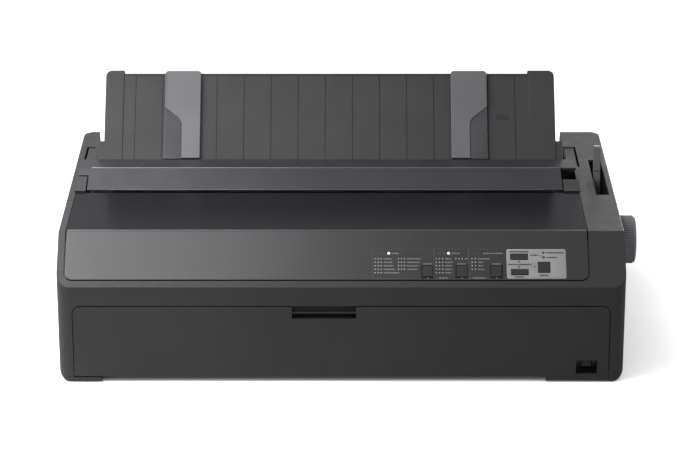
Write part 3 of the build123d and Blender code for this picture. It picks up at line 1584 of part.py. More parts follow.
for side, (x_low, outward) in tractors.items():
    x_high = x_low + tractor_width
    x_mid = (x_low + x_high) / 2
    outer_x = x_low if outward < 0 else x_high
    with BuildPart() as tractor:
        with BuildSketch(Plane.YZ.offset(x_low)) as tractor_side:
            with BuildLine():
                Polyline(
                    (tractor_front_y, tractor_top - 4),
                    (tractor_front_y + 4, tractor_top),
                    (tractor_rear_y - 4, tractor_top),
                    (tractor_rear_y, tractor_top - 8),
                    (tractor_rear_y, tractor_shaft_z - 6),
                    (tractor_rear_y - 8, tractor_shaft_z - 15),
                    (support_y - 8, support_z - 10),
                    (tractor_front_y, support_z - 4),
                    close=True,
                )
            make_face()
        extrude(amount=tractor_width)
        # Well of the sprocket, open to the paper above
        block(
            x_mid - sprocket_width / 2 - 1,
            x_mid + sprocket_width / 2 + 1,
            tractor_shaft_y - sprocket_radius - sprocket_pin_height - 1,
            tractor_rear_y + 1,
            tractor_shaft_z - 20,
            tractor_top + 1,
            Mode.SUBTRACT,
        )
        rod(
            x_low - 1,
            x_high + 1,
            tractor_shaft_y,
            tractor_shaft_z,
            sprocket_hub_radius + shaft_gap,
            Mode.SUBTRACT,
        )
        rod(x_low - 1, x_high + 1, support_y, support_z, support_radius + shaft_gap, Mode.SUBTRACT)
        # Hinge bosses of the gate, on the outer side
        boss_x = outer_x + outward * 2.6
        for y_low in (gate_y[0] + 2, gate_y[1] - 8):
            block(
                min(outer_x, boss_x + outward * 2.6),
                max(outer_x, boss_x + outward * 2.6),
                y_low,
                y_low + 6,
                gate_pin_z - 6,
                gate_pin_z + 2.6,
            )
            with Locations((boss_x, y_low + 3, gate_pin_z)):
                Cylinder(gate_pin_radius + shaft_gap, 8, rotation=(90, 0, 0), mode=Mode.SUBTRACT)
    save(tractor.part, f"{side}_tractor")

    with BuildPart() as sprocket:
        rod(
            x_mid - sprocket_width / 2,
            x_mid + sprocket_width / 2,
            tractor_shaft_y,
            tractor_shaft_z,
            sprocket_radius,
        )
        rod(x_low, x_high, tractor_shaft_y, tractor_shaft_z, sprocket_hub_radius)
        block(
            x_low - 1,
            x_high + 1,
            tractor_shaft_y - tractor_square / 2 - 0.1,
            tractor_shaft_y + tractor_square / 2 + 0.1,
            tractor_shaft_z - tractor_square / 2 - 0.1,
            tractor_shaft_z + tractor_square / 2 + 0.1,
            Mode.SUBTRACT,
        )
        for i in range(sprocket_pins):
            turn = 360 * (i + 0.5) / sprocket_pins
            pin_plane = Plane(
                origin=(x_mid, tractor_shaft_y, tractor_shaft_z),
                x_dir=(1, 0, 0),
                z_dir=(0, cos(radians(turn)), sin(radians(turn))),
            )
            with BuildSketch(pin_plane.offset(sprocket_radius - 1)) as pin:
                Circle(sprocket_pin_radius)
            extrude(pin.sketch, amount=sprocket_pin_height + 1, taper=8)
    save(sprocket.part, f"{side}_sprocket")

    inner_x = outer_x - outward * (gate_width - 2.6)
    with BuildPart() as gate:
        gate_low_z = tractor_top + rest_gap
        block(
            min(inner_x, boss_x),
            max(inner_x, boss_x),
            *gate_y,
            gate_low_z,
            gate_low_z + gate_thick,
        )
        # Slot over the pins
        block(
            x_mid - 3.5,
            x_mid + 3.5,
            gate_y[0] + 6,
            gate_y[1] - 5,
            gate_low_z - 1,
            gate_low_z + gate_thick + 1,
            Mode.SUBTRACT,
        )
        for y_low in (gate_y[0] + 2, gate_y[1] - 8):
            block(
                min(outer_x - outward, boss_x + outward * 4),
                max(outer_x - outward, boss_x + outward * 4),
                y_low - 0.4,
                y_low + 6.4,
                gate_low_z - 1,
                gate_low_z + gate_thick + 1,
                Mode.SUBTRACT,
            )
        knuckle_y = (gate_y[0] + 8.5, gate_y[1] - 8.5)
        block(
            boss_x - 1.4,
            boss_x + 1.4,
            *knuckle_y,
            gate_pin_z,
            gate_low_z + gate_thick,
        )
        with Locations((boss_x, sum(gate_y) / 2, gate_pin_z)):
            Cylinder(gate_pin_radius, gate_y[1] - gate_y[0] - 5, rotation=(90, 0, 0))
    save(gate.part, f"{side}_gate")

# Paper thickness lever
with BuildPart() as thickness_lever:
    rod(*thickness_x, thickness_y, thickness_z, 6.0)
    block(*thickness_x, thickness_y - 3.5, thickness_y + 3.5, thickness_z, thickness_z + thickness_length)
    rod(*thickness_x, thickness_y, thickness_z + thickness_length, 3.5)
    rod(
        thickness_x[0] - 1,
        thickness_x[1] + 1,
        thickness_y,
        thickness_z,
        thickness_pin_radius + shaft_gap,
        Mode.SUBTRACT,
    )
save(thickness_lever.part, "thickness_lever")

# Release lever, which leans back a little through its slot
lever_lean = 12.0
lever_length = 80.0
lever_half = 3.6
lever_hub_radius = 8.0
lever_grip = 30.0
lever_up = (sin(radians(lever_lean)), cos(radians(lever_lean)))
lever_plane = Plane(
    origin=((lever_x[0] + lever_x[1]) / 2, lever_pin_y, lever_pin_z),
    x_dir=(0, lever_up[1], -lever_up[0]),
    z_dir=(1, 0, 0),
)

with BuildPart() as release_lever:
    with BuildSketch(lever_plane.offset((lever_x[0] - lever_x[1]) / 2)):
        with BuildLine():
            Polyline(
                (-lever_half, 0),
                (-lever_half, lever_length - lever_grip),
                (-lever_half - 0.8, lever_length - lever_grip + 2),
                (-lever_half - 0.8, lever_length - 2),
                (-lever_half + 2, lever_length),
                (lever_half + 0.4, lever_length),
                (lever_half, lever_length - lever_grip),
                (lever_half, 0),
                close=True,
            )
        make_face()
        Circle(lever_hub_radius)
        Circle(lever_pin_radius + shaft_gap, mode=Mode.SUBTRACT)
    extrude(amount=lever_x[1] - lever_x[0])
save(release_lever.part, "release_lever")


def board(x_span, y_span):
    """A circuit board on the tray's posts, with its screw holes."""
    z_low = tray_floor + board_lift
    block(*x_span, *y_span, z_low, z_low + board_thick)
    with Locations([(x, y, z_low + board_thick / 2) for x, y in board_corners(x_span, y_span)]):
        Cylinder(screw_radius + rest_gap, board_thick, mode=Mode.SUBTRACT)


# Power supply: board with transformer, heat sink and two capacitors
with BuildPart() as power_supply_board:
    board(supply_board_x, supply_board_y)
    low_x = supply_board_x[0]
    low_y = supply_board_y[0]
    block(
        low_x + 60,
        low_x + 60 + transformer_size,
        low_y + 30,
        low_y + 30 + transformer_size,
        board_top,
        board_top + transformer_height,
    )
    block(low_x + 120, low_x + 124, low_y + 18, low_y + 110, board_top, board_top + supply_sink_height)
    with Locations([(low_x + 145, low_y + y, board_top + transformer_height / 2) for y in (40, 85)]):
        Cylinder(capacitor_radius, transformer_height)
save(power_supply_board.part, "power_supply_board")

# Main board with its processor, a heat sink and a row of cable sockets
with BuildPart() as main_board:
    board(main_board_x, main_board_y)
    low_x = main_board_x[0]
    low_y = main_board_y[0]
    block(
        low_x + 90,
        low_x + 90 + processor_size,
        low_y + 60,
        low_y + 60 + processor_size,
        board_top,
        board_top + processor_height,
    )
    block(
        main_board_x[1] - 15 - driver_sink[0],
        main_board_x[1] - 15,
        low_y + 50,
        low_y + 50 + driver_sink[1],
        board_top,
        board_top + driver_sink[2],
    )
    for i in range(cable_sockets):
        x_low = low_x + cable_socket_margin + cable_socket_pitch * i
        block(x_low, x_low + cable_socket_length, low_y + 4, low_y + 12, board_top, board_top + 8)
save(main_board.part, "main_board")

# Mains inlet, seated in the rear wall, with three blades
with BuildPart() as ac_inlet:
    block(
        inlet_x - inlet_width / 2,
        inlet_x + inlet_width / 2,
        rear_y - inlet_depth,
        rear_y - 0.5,
        inlet_z - inlet_height / 2,
        inlet_z + inlet_height / 2,
    )
    block(
        inlet_x - inlet_width / 2 - inlet_flange,
        inlet_x + inlet_width / 2 + inlet_flange,
        rear_y - wall - 2.4,
        rear_y - wall,
        inlet_z - inlet_height / 2 - inlet_flange,
        inlet_z + inlet_height / 2 + inlet_flange,
    )
    block(
        inlet_x - inlet_width / 2 + 2,
        inlet_x + inlet_width / 2 - 2,
        rear_y - inlet_depth + 6,
        rear_y,
        inlet_z - inlet_height / 2 + 2,
        inlet_z + inlet_height / 2 - 2,
        Mode.SUBTRACT,
    )
    for x, z in ((-7, -2), (7, -2), (0, 2)):
        block(
            inlet_x + x - 1,
            inlet_x + x + 1,
            rear_y - inlet_depth + 5,
            rear_y - 6,
            inlet_z + z - 2,
            inlet_z + z + 2,
        )
save(ac_inlet.part, "ac_inlet")


def socket(x, width, height, tongue):
    """A shell on the main board that faces out through the rear wall, with a tongue inside."""
    block(x - width / 2, x + width / 2, rear_y - socket_depth, rear_y - 0.6, board_top, board_top + height)
    block(
        x - width / 2 + 1.2,
        x + width / 2 - 1.2,
        rear_y - socket_depth + 5,
        rear_y,
        board_top + 1.2,
        board_top + height - 1.2,
        Mode.SUBTRACT,
    )
    block(
        x - tongue / 2,
        x + tongue / 2,
        rear_y - socket_depth + 4,
        rear_y - 4,
        board_top + height / 2 - 1.5,
        board_top + height / 2 + 1.5,
    )


with BuildPart() as parallel_connector:
    socket(parallel_x, parallel_width, parallel_height, parallel_width - 10)
save(parallel_connector.part, "parallel_connector")

with BuildPart() as usb_connector:
    socket(usb_x, usb_width, usb_height, usb_width - 6)
save(usb_connector.part, "usb_connector")

# Cover plate over the interface slot
with BuildPart() as slot_cover:
    block(
        slot_cover_x - slot_cover_width / 2,
        slot_cover_x + slot_cover_width / 2,
        rear_y - wall / 2,
        rear_y - 0.2,
        slot_cover_z - slot_cover_height / 2,
        slot_cover_z + slot_cover_height / 2,
    )
save(slot_cover.part, "slot_cover")

# Screws that hold the boards to the posts
with BuildPart() as board_screws_set:
    with Locations([(x, y, board_top + screw_head_height / 2) for x, y in board_screws]):
        Cylinder(screw_head, screw_head_height)
    with Locations([(x, y, (board_top + tray_floor + 2) / 2) for x, y in board_screws]):
        Cylinder(screw_radius, board_top - tray_floor - 2)
save(board_screws_set.part, "board_screws")
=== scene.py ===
# %% [markdown]
# A wide carriage dot matrix printer, dressed for its portrait. The moving parts come from a packed
# CAD model, which stays exactly as it is. This file gives every piece its finish, adds the small
# parts that the model leaves out, and sets the camera and the lights.

import math

import bmesh
import bpy
from mathutils import Matrix, Vector


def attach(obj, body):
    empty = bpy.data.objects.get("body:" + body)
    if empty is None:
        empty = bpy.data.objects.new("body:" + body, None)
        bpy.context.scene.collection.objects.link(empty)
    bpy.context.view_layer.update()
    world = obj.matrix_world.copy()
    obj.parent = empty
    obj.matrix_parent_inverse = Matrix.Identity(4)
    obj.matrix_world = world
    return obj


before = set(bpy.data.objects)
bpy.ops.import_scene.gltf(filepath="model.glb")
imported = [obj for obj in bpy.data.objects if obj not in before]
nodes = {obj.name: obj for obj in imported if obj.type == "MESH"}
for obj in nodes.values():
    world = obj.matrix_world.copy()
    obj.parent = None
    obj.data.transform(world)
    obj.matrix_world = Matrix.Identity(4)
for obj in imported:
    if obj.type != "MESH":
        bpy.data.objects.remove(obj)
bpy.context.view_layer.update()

# %% [markdown]
# The model is in metres, and a printer is easier to think about in millimetres. These are the few
# sizes that the added pieces share with it: the case's middle and front, the slope that holds the
# control panel, and the plane of the sheet guide. A small class moves what is drawn flat onto a
# slanted plane in the room.

# %% Shared sizes and planes
MM = 0.001
CASE_X = -9.5
FRONT_Y = -201.0
REAR_Y = 201.0
DECK_Z = 158.5
SHOULDER_Z = 111.9
SLOPE_RUN = 50.0
SLOPE_LENGTH = math.hypot(SLOPE_RUN, DECK_Z - SHOULDER_Z)


class Flat:
    """A slanted plane: across runs level, up climbs it and out leaves it. Sizes in millimetres."""

    def __init__(self, origin, up, across=(1, 0, 0)):
        self.origin = Vector(origin)
        self.across = Vector(across)
        self.up = Vector(up).normalized()
        self.out = self.across.cross(self.up)

    def matrix(self, out):
        """The plane as a matrix: X is across, Y is up and Z is out, for pieces drawn in millimetres."""
        turn = Matrix((self.across, self.up, self.out)).transposed().to_4x4()
        place = (self.origin + self.out * out) * MM
        return Matrix.Translation(place) @ turn @ Matrix.Scale(MM, 4)


SLOPE = Flat((CASE_X, FRONT_Y, SHOULDER_Z), (0, SLOPE_RUN, DECK_Z - SHOULDER_Z))
DECK = Flat((CASE_X, FRONT_Y, DECK_Z), (0, 1, 0))
REAR = Flat((CASE_X, REAR_Y, 0), (0, 0, 1), (-1, 0, 0))
GUIDE_TILT = math.radians(40)
GUIDE_PIN = (251.4, 159.0)
GUIDE_HALF = 5.0
GUIDE = Flat(
    (
        CASE_X,
        FRONT_Y + GUIDE_PIN[0] - GUIDE_HALF * math.cos(GUIDE_TILT),
        GUIDE_PIN[1] + GUIDE_HALF * math.sin(GUIDE_TILT),
    ),
    (0, math.sin(GUIDE_TILT), math.cos(GUIDE_TILT)),
)
print("slope is", round(SLOPE_LENGTH, 1), "mm long")

# %% [markdown]
# The camera looks from in front and about 21 degrees above, through a long lens, which keeps the
# case's sides nearly parallel. The focal length is written for a picture 690 pixels wide.

# %% Camera
PICTURE_WIDTH = 690
FOCAL_PIXELS = 2800.0
SENSOR = 36.0
CAMERA_PITCH = 20.9
CAMERA_PLACE = (CASE_X + 4.0, -3015.1, 1253.4)

camera_data = bpy.data.cameras.new("camera")
camera_data.sensor_width = SENSOR
camera_data.lens = FOCAL_PIXELS / PICTURE_WIDTH * SENSOR
camera_data.clip_end = 50
camera = bpy.data.objects.new("camera", camera_data)
camera.location = Vector(CAMERA_PLACE) * MM
camera.rotation_euler = (math.radians(90 - CAMERA_PITCH), 0, 0)
bpy.context.collection.objects.link(camera)
bpy.context.scene.camera = camera
bpy.context.scene.view_settings.view_transform = "Standard"
print("lens", round(camera_data.lens, 1), "mm")

# %% [markdown]
# Product photographs of dark plastic are lit by soft boxes. One hangs above the left half, where the
# sloped panel mirrors it, and so the panel fades from light grey to nearly black. A second one, near
# the left end and narrowed to a spot, makes the door fade the same way. A third one behind draws the
# thin bright lines along the edges that face up, and a weak one on the right picks out the knob. The
# last one stands low behind the printer and only lights its back.

# %% Lights
# Each lamp: its place and the place that it faces, in metres, its width and height, and its watts
LAMPS = {
    "sheen_box": ((-0.45, -0.45, 1.05), (-0.38, -0.15, 0.12), (0.7, 0.5), 6.3),
    "spot_box": ((-0.7, -0.3, 0.7), (-0.35, -0.2, 0.05), (0.5, 0.5), 2.5),
    "edge_box": ((-0.7, 1.2, 1.9), (-0.2, 0, 0.1), (0.9, 0.6), 14),
    "rear_box": ((0.8, 2.0, 0.2), (0, 0.2, 0.1), (0.8, 0.3), 14),
    "knob_box": ((0.9, -0.6, 0.8), (0.3, -0.1, 0.1), (0.4, 0.4), 1.7),
}
SPOT_SPREAD = 92


def soft_box(name, place, aim, size, power):
    """A soft rectangular lamp at a place, turned to face another place."""
    data = bpy.data.lights.new(name, "AREA")
    data.shape = "RECTANGLE"
    data.size = size[0]
    data.size_y = size[1]
    data.energy = power
    lamp = bpy.data.objects.new(name, data)
    lamp.location = place
    lamp.rotation_euler = (Vector(aim) - Vector(place)).to_track_quat("-Z", "Y").to_euler()
    bpy.context.collection.objects.link(lamp)
    return lamp


lamps = {name: soft_box(name, *settings) for name, settings in LAMPS.items()}
lamps["spot_box"].data.spread = math.radians(SPOT_SPREAD)
print("lamps", len(lamps))

# %% [markdown]
# Blender's colours are linear, and colours read from a picture are not. One function turns a hex
# colour into a linear one. Another adds a shader node with its settings and links in one call, so
# that a material reads as a list of what it is made of.

# %% Colour and node helpers
def linear(hex_colour):
    """A hex sRGB colour as linear red, green, blue and an alpha of one."""
    values = [int(hex_colour[i:i + 2], 16) / 255 for i in (0, 2, 4)]
    return tuple(v / 12.92 if v <= 0.04045 else ((v + 0.055) / 1.055) ** 2.4 for v in values) + (1.0,)


def add(tree, kind, inputs=(), **settings):
    """One node in a tree. inputs maps socket names or numbers to values or other sockets."""
    made = tree.nodes.new(kind)
    for name, value in settings.items():
        setattr(made, name, value)
    for name, value in dict(inputs).items():
        socket = made.inputs[name]
        if isinstance(value, bpy.types.NodeSocket):
            tree.links.new(value, socket)
        else:
            socket.default_value = value
    return made


def new_material(name):
    """An empty node material and its tree."""
    material = bpy.data.materials.new(name)
    material.use_nodes = True
    tree = material.node_tree
    tree.nodes.clear()
    return material, tree


def show(tree, shader):
    """Makes a shader the surface of its material."""
    add(tree, "ShaderNodeOutputMaterial", {"Surface": shader.outputs[0]})


def principled(tree, settings):
    """A shader with these settings, as the surface of its material."""
    show(tree, add(tree, "ShaderNodeBsdfPrincipled", settings))


print("helpers ready")

# %% [markdown]
# Floor and background are plain. The floor takes the lamps' shadows, and to the camera it also shines
# in white, except close under the printer, where the ambient occlusion node darkens it. The world is
# white to the camera and to reflections, but lights the scene only gently.

# %% Floor and world
FLOOR_HALF = 8.0
AMBIENT = 0.09
# How bright the floor shines to the camera, and how far its soft contact shadow reaches, in metres
FLOOR_WHITE = 0.92
CONTACT_REACH = 0.12
CONTACT_SAMPLES = 12

floor_mesh = bpy.data.meshes.new("floor")
corners = [(-1, -1), (1, -1), (1, 1), (-1, 1)]
floor_mesh.from_pydata([(x * FLOOR_HALF, y * FLOOR_HALF, 0) for x, y in corners], [], [(0, 1, 2, 3)])
floor = bpy.data.objects.new("floor", floor_mesh)
bpy.context.collection.objects.link(floor)
floor_material, tree = new_material("white_sweep")
paper = add(tree, "ShaderNodeBsdfDiffuse", {"Color": (0.92, 0.92, 0.92, 1)})
near = add(tree, "ShaderNodeAmbientOcclusion", {"Distance": CONTACT_REACH}, samples=CONTACT_SAMPLES)
to_camera = add(tree, "ShaderNodeLightPath").outputs["Is Camera Ray"]
strength = add(tree, "ShaderNodeMath", {0: to_camera, 1: FLOOR_WHITE}, operation="MULTIPLY")
glow = add(tree, "ShaderNodeEmission", {"Color": near.outputs["Color"], "Strength": strength.outputs[0]})
floor_shader = add(tree, "ShaderNodeAddShader", {0: paper.outputs[0], 1: glow.outputs[0]})
show(tree, floor_shader)
floor_mesh.materials.append(floor_material)

world = bpy.data.worlds.new("studio")
bpy.context.scene.world = world
world.use_nodes = True
tree = world.node_tree
tree.nodes.clear()
rays = add(tree, "ShaderNodeLightPath").outputs
seen = add(tree, "ShaderNodeMath", {0: rays["Is Camera Ray"], 1: rays["Is Glossy Ray"]}, operation="ADD")
seen_or_through = {0: seen.outputs[0], 1: rays["Is Transmission Ray"]}
seen = add(tree, "ShaderNodeMath", seen_or_through, operation="ADD", use_clamp=True)
dim = add(tree, "ShaderNodeBackground", {"Color": (1, 1, 1, 1), "Strength": AMBIENT})
white = add(tree, "ShaderNodeBackground", {"Color": (1, 1, 1, 1), "Strength": 1.0})
mixed = add(tree, "ShaderNodeMixShader", {0: seen.outputs[0], 1: dim.outputs[0], 2: white.outputs[0]})
add(tree, "ShaderNodeOutputWorld", {"Surface": mixed.outputs[0]})
print("floor and world ready")

# %% [markdown]
# Injection moulded plastic is never perfectly smooth. Its mould is etched with a fine grain, which
# breaks up the light, and its shine differs a little from place to place. This function builds that
# once. Every plastic piece then differs in colour, in how rough it is, in the size of its grain and
# in how much it mirrors. The grain's size is given in millimetres, and a noise texture's scale is
# one over that size in metres.

# %% Moulded plastic
def grain(tree, coordinates, size_mm, depth_mm, strength):
    """The bump of an etched mould: small pits of a size and depth."""
    pits = {"Vector": coordinates, "Scale": 1 / (size_mm * MM), "Detail": 3.0}
    fine = add(tree, "ShaderNodeTexNoise", pits)
    heights = {"Height": fine.outputs[0], "Distance": depth_mm * MM, "Strength": strength}
    return add(tree, "ShaderNodeBump", heights)


def patchy(tree, coordinates, size_mm, low, high):
    """A value that drifts between two others over patches of a size."""
    patches = {"Vector": coordinates, "Scale": 1 / (size_mm * MM), "Detail": 2.0}
    wide = add(tree, "ShaderNodeTexNoise", patches)
    spread = {"Value": wide.outputs[0], "From Min": 0.3, "From Max": 0.7, "To Min": low, "To Max": high}
    return add(tree, "ShaderNodeMapRange", spread)


def tinted(tree, amount, colour, lightest):
    """A colour that moves towards a lighter one by an amount."""
    return add(tree, "ShaderNodeMix", {0: amount, 6: linear(colour), 7: linear(lightest)}, data_type="RGBA")


def plastic(name, colour, lighter, rough, mirror, grain_mm=0.35, depth_mm=0.02, patch_mm=60.0, drift=0.04):
    """A moulded plastic: base and slightly lighter colour, roughness and its drift, share of full mirror."""
    material, tree = new_material(name)
    where = add(tree, "ShaderNodeTexCoord").outputs["Object"]
    shade = patchy(tree, where, patch_mm, 0.0, 1.0)
    skin = patchy(tree, where, patch_mm / 4, rough - drift, rough + drift)
    pits = grain(tree, where, grain_mm, depth_mm, 0.35)
    principled(tree, {
        "Base Color": tinted(tree, shade.outputs[0], colour, lighter).outputs[2],
        "Roughness": skin.outputs[0],
        "Specular IOR Level": mirror,
        "Normal": pits.outputs[0],
    })
    return material


# The case is charcoal ABS with a fine matte grain, which keeps the long faces soft and even
case_plastic = plastic("charcoal_abs_matte", "2a2a2c", "2e2e30", 0.52, 0.28)
# The sloped panel has a silkier grain, so it shows the soft box above as a long fading sheen
panel_plastic = plastic("charcoal_abs_silk", "2b2b2d", "2e2e30", 0.32, 0.34, grain_mm=0.25, depth_mm=0.012,
                        drift=0.012)
# The sheet guide and the tractors' gates are a lighter grey with a coarser grain, dry beside the cover
guide_plastic = plastic("grey_abs_dry", "404041", "454546", 0.62, 0.22, grain_mm=0.45, depth_mm=0.03)
# Edge guides, levers and the ribbon knob are a light grey that the hand finds at a glance
grip_plastic = plastic("light_grey_abs", "6c6c70", "737377", 0.5, 0.3)
# The paper knob is a shade lighter still, and its ribs keep the same dry grain
knob_plastic = plastic("pale_grey_abs", "85858a", "8c8c91", 0.5, 0.3)
# Buttons, switch, mains inlet and ribbon cartridge are black, with a faint shine from a smooth mould. The
# same black paints the shade in the guide's grooves and in the joint at the cover
black_plastic_and_shade = plastic("black_abs_smooth_and_painted_shade", "1a1a1b", "202021", 0.38, 0.35, grain_mm=0.2, depth_mm=0.006)
# Carriage, tractors and tension roller are black glass-filled nylon, whose fibres roughen the grain
nylon_black = plastic("black_filled_nylon", "1b1b1c", "242425", 0.6, 0.25, grain_mm=0.7, depth_mm=0.05)
# The two large gears, the sprockets and the pulleys are natural acetal: milky, with a waxy shine
acetal_white = plastic("natural_acetal", "d8d6ce", "e2e0d8", 0.35, 0.5, grain_mm=0.8, depth_mm=0.01)
# The film around three of the keys and the blank plate and label are a smooth silver grey print
film_silver = plastic("silver_print_film", "9b9b9d", "a3a3a5", 0.4, 0.3, grain_mm=0.15, depth_mm=0.004)
# Printed marks are one of three inks, pale, dim or dark, and all of them are flat and dry. The dark one also
# paints the shade round the black keys
ink_pale = plastic("pale_pad_ink", "8d8d8f", "979799", 0.7, 0.1, grain_mm=0.1, depth_mm=0.002)
ink_dim = plastic("dim_pad_ink", "58585a", "606062", 0.7, 0.1, grain_mm=0.1, depth_mm=0.002)
dark_ink_and_shade = plastic("dark_pad_ink_and_painted_shade", "242426", "2a2a2c", 0.7, 0.1, grain_mm=0.1, depth_mm=0.002)
print("materials so far", len(bpy.data.materials))

# %% [markdown]
# The cover over the print line is smoked polycarbonate. Most of what the eye gets from it is a dark
# blue grey, and a little of the mechanism shows through. A transparent shader mixed into a dark
# plastic does that without slow refraction. The bar behind it is solid and satin, of the same
# colour family.

# %% Smoked cover and satin bar
SMOKE_SHARE = 0.22

smoked_plastic, tree = new_material("smoked_polycarbonate")
where = add(tree, "ShaderNodeTexCoord").outputs["Object"]
ripple = grain(tree, where, 18.0, 0.05, 0.2)
shell = add(tree, "ShaderNodeBsdfPrincipled", {
    "Base Color": linear("25252a"),
    "Roughness": 0.22,
    "Specular IOR Level": 0.04,
    "Normal": ripple.outputs[0],
})
through = add(tree, "ShaderNodeBsdfTransparent", {"Color": linear("6a6a74")})
smoke = add(tree, "ShaderNodeMixShader", {0: SMOKE_SHARE, 1: shell.outputs[0], 2: through.outputs[0]})
show(tree, smoke)

bar_plastic = plastic("blue_grey_satin", "302f34", "353439", 0.36, 0.14, grain_mm=0.25, depth_mm=0.01)
print("smoke share", SMOKE_SHARE)

# %% [markdown]
# Metals come next. The rail and the screws are zinc plated, and zinc grows in crystals, so a cell
# pattern makes the shine jump from patch to patch. Ground rods carry fine rings around their length.
# The motors are painted black, and the print head is cast aluminium, dull and slightly pitted.

# %% Metals
def metal(name, colour, rough_low, rough_high, patch_mm, depth_mm, stretch=(1, 1, 1)):
    """A metal whose roughness changes between cells. stretch lengthens the cells along an axis."""
    material, tree = new_material(name)
    where = add(tree, "ShaderNodeTexCoord").outputs["Object"]
    long_way = add(tree, "ShaderNodeMapping", {"Vector": where, "Scale": stretch}).outputs[0]
    cells = add(tree, "ShaderNodeTexVoronoi", {"Vector": long_way, "Scale": 1 / (patch_mm * MM)})
    level = add(tree, "ShaderNodeSeparateColor", {0: cells.outputs["Color"]})
    spread = {"Value": level.outputs[0], "To Min": rough_low, "To Max": rough_high}
    shine = add(tree, "ShaderNodeMapRange", spread)
    wear = grain(tree, long_way, patch_mm / 2, depth_mm, 0.3)
    principled(tree, {
        "Base Color": linear(colour),
        "Metallic": 1.0,
        "Roughness": shine.outputs[0],
        "Normal": wear.outputs[0],
    })
    return material


# Rail and screws: zinc crystals two or three millimetres wide, bright in patches
zinc_steel = metal("zinc_plated_steel", "b9bab8", 0.28, 0.46, 2.6, 0.01)
# Side plates and the back shaft: phosphated, a dull dark grey that throws no stray light
dark_steel = metal("phosphated_steel", "4a4b4c", 0.5, 0.66, 1.8, 0.02)
# Rods, shafts and pins: ground steel, with rings that are short along the rod
ground_steel = metal("ground_steel", "c4c5c8", 0.16, 0.3, 0.6, 0.004, (12, 1, 1))
# Print head, heat sinks and capacitor tops: aluminium, soft and dull
cast_aluminium = metal("cast_aluminium", "c9cacc", 0.42, 0.58, 0.8, 0.03)
# Connector shells and mains blades: nickel, smoother and warmer than zinc
nickel = metal("nickel_plate", "c9c3b6", 0.18, 0.26, 1.5, 0.004)
# Feed pinion: brass, a small yellow spot beside the white gears
brass = metal("spring_brass", "c8a24e", 0.25, 0.4, 1.0, 0.01)

enamel, tree = new_material("black_motor_enamel")
where = add(tree, "ShaderNodeTexCoord").outputs["Object"]
# Orange peel in the paint, one millimetre wide, under a clear coat that keeps a sharp highlight
peel = grain(tree, where, 1.1, 0.04, 0.4)
principled(tree, {
    "Base Color": linear("17171a"),
    "Roughness": 0.45,
    "Coat Weight": 0.5,
    "Coat Roughness": 0.12,
    "Normal": peel.outputs[0],
})
print("metals ready")

# %% [markdown]
# Rubber scatters light at its surface, so a little sheen and a high roughness make it look soft. The
# toothed belts are the same stuff with ribs across, which a wave texture draws in the bump. The inked
# ribbon is nylon cloth: two crossed waves make its weave.

# %% Rubber, belts and ribbon
def bands(spacing_mm):
    """The scale that sets a wave texture's bands this far apart."""
    return math.pi / (10 * spacing_mm * MM)


def rubber(name, colour, grain_mm, ribs_mm=0.0):
    """Black rubber with a dry skin, and ribs across it if their spacing is given."""
    material, tree = new_material(name)
    where = add(tree, "ShaderNodeTexCoord").outputs["Object"]
    skin = grain(tree, where, grain_mm, 0.03, 0.4)
    if ribs_mm > 0:
        ribs = {"Vector": where, "Scale": bands(ribs_mm)}
        wave = add(tree, "ShaderNodeTexWave", ribs, bands_direction="X")
        raised = {"Height": wave.outputs["Fac"], "Distance": 0.4 * MM, "Normal": skin.outputs[0]}
        skin = add(tree, "ShaderNodeBump", raised)
    principled(tree, {
        "Base Color": linear(colour),
        "Roughness": 0.78,
        "Specular IOR Level": 0.3,
        "Sheen Weight": 0.15,
        "Normal": skin.outputs[0],
    })
    return material


# Platen and feet: plain rubber, ground to an even matte
platen_rubber = rubber("ground_black_rubber", "1e1e1f", 0.3)
# Belts: ribs two millimetres apart stand for their teeth
belt_rubber = rubber("toothed_belt_rubber", "1a1a1b", 0.5, ribs_mm=2.0)

ribbon_cloth, tree = new_material("inked_nylon_ribbon")
where = add(tree, "ShaderNodeTexCoord").outputs["Object"]
WEAVE_MM = 0.5
weave = {"Vector": where, "Scale": bands(WEAVE_MM)}
warp = add(tree, "ShaderNodeTexWave", weave, bands_direction="X")
weft = add(tree, "ShaderNodeTexWave", weave, bands_direction="Z")
crossed = add(tree, "ShaderNodeMath", {0: warp.outputs["Fac"], 1: weft.outputs["Fac"]}, operation="MULTIPLY")
# The threads catch a little light where they cross, and the ink keeps everything else black
threads = add(tree, "ShaderNodeBump", {"Height": crossed.outputs[0], "Distance": 0.1 * MM})
principled(tree, {
    "Base Color": tinted(tree, crossed.outputs[0], "0e0e11", "26262c").outputs[2],
    "Roughness": 0.7,
    "Sheen Weight": 0.4,
    "Normal": threads.outputs[0],
})
print("soft materials ready")

# %% [markdown]
# A circuit board gets its look from the copper under the green lacquer: straight tracks a little
# lighter than the rest. The joints of a brick texture with long thin bricks give such tracks, each a
# third as wide as the step between them. The small lights are smooth lenses, and the two that are on
# also glow.

# %% Circuit board and lights
BRICK_MM = 10.0
TRACK_STEP_MM = 2.6

board_green, tree = new_material("solder_lacquer_green")
where = add(tree, "ShaderNodeTexCoord").outputs["Object"]
tracks = add(tree, "ShaderNodeTexBrick", {
    "Vector": where,
    "Scale": 1 / (BRICK_MM * MM),
    "Mortar Size": TRACK_STEP_MM / 6 / BRICK_MM,
    "Brick Width": 2.2,
    "Row Height": TRACK_STEP_MM / BRICK_MM,
    "Color1": linear("14391f"),
    "Color2": linear("103019"),
    "Mortar": linear("2f6a3d"),
})
step = add(tree, "ShaderNodeBump", {"Height": tracks.outputs["Fac"], "Distance": 0.05 * MM})
principled(tree, {
    "Base Color": tracks.outputs["Color"],
    "Roughness": 0.3,
    "Coat Weight": 0.3,
    "Normal": step.outputs[0],
})


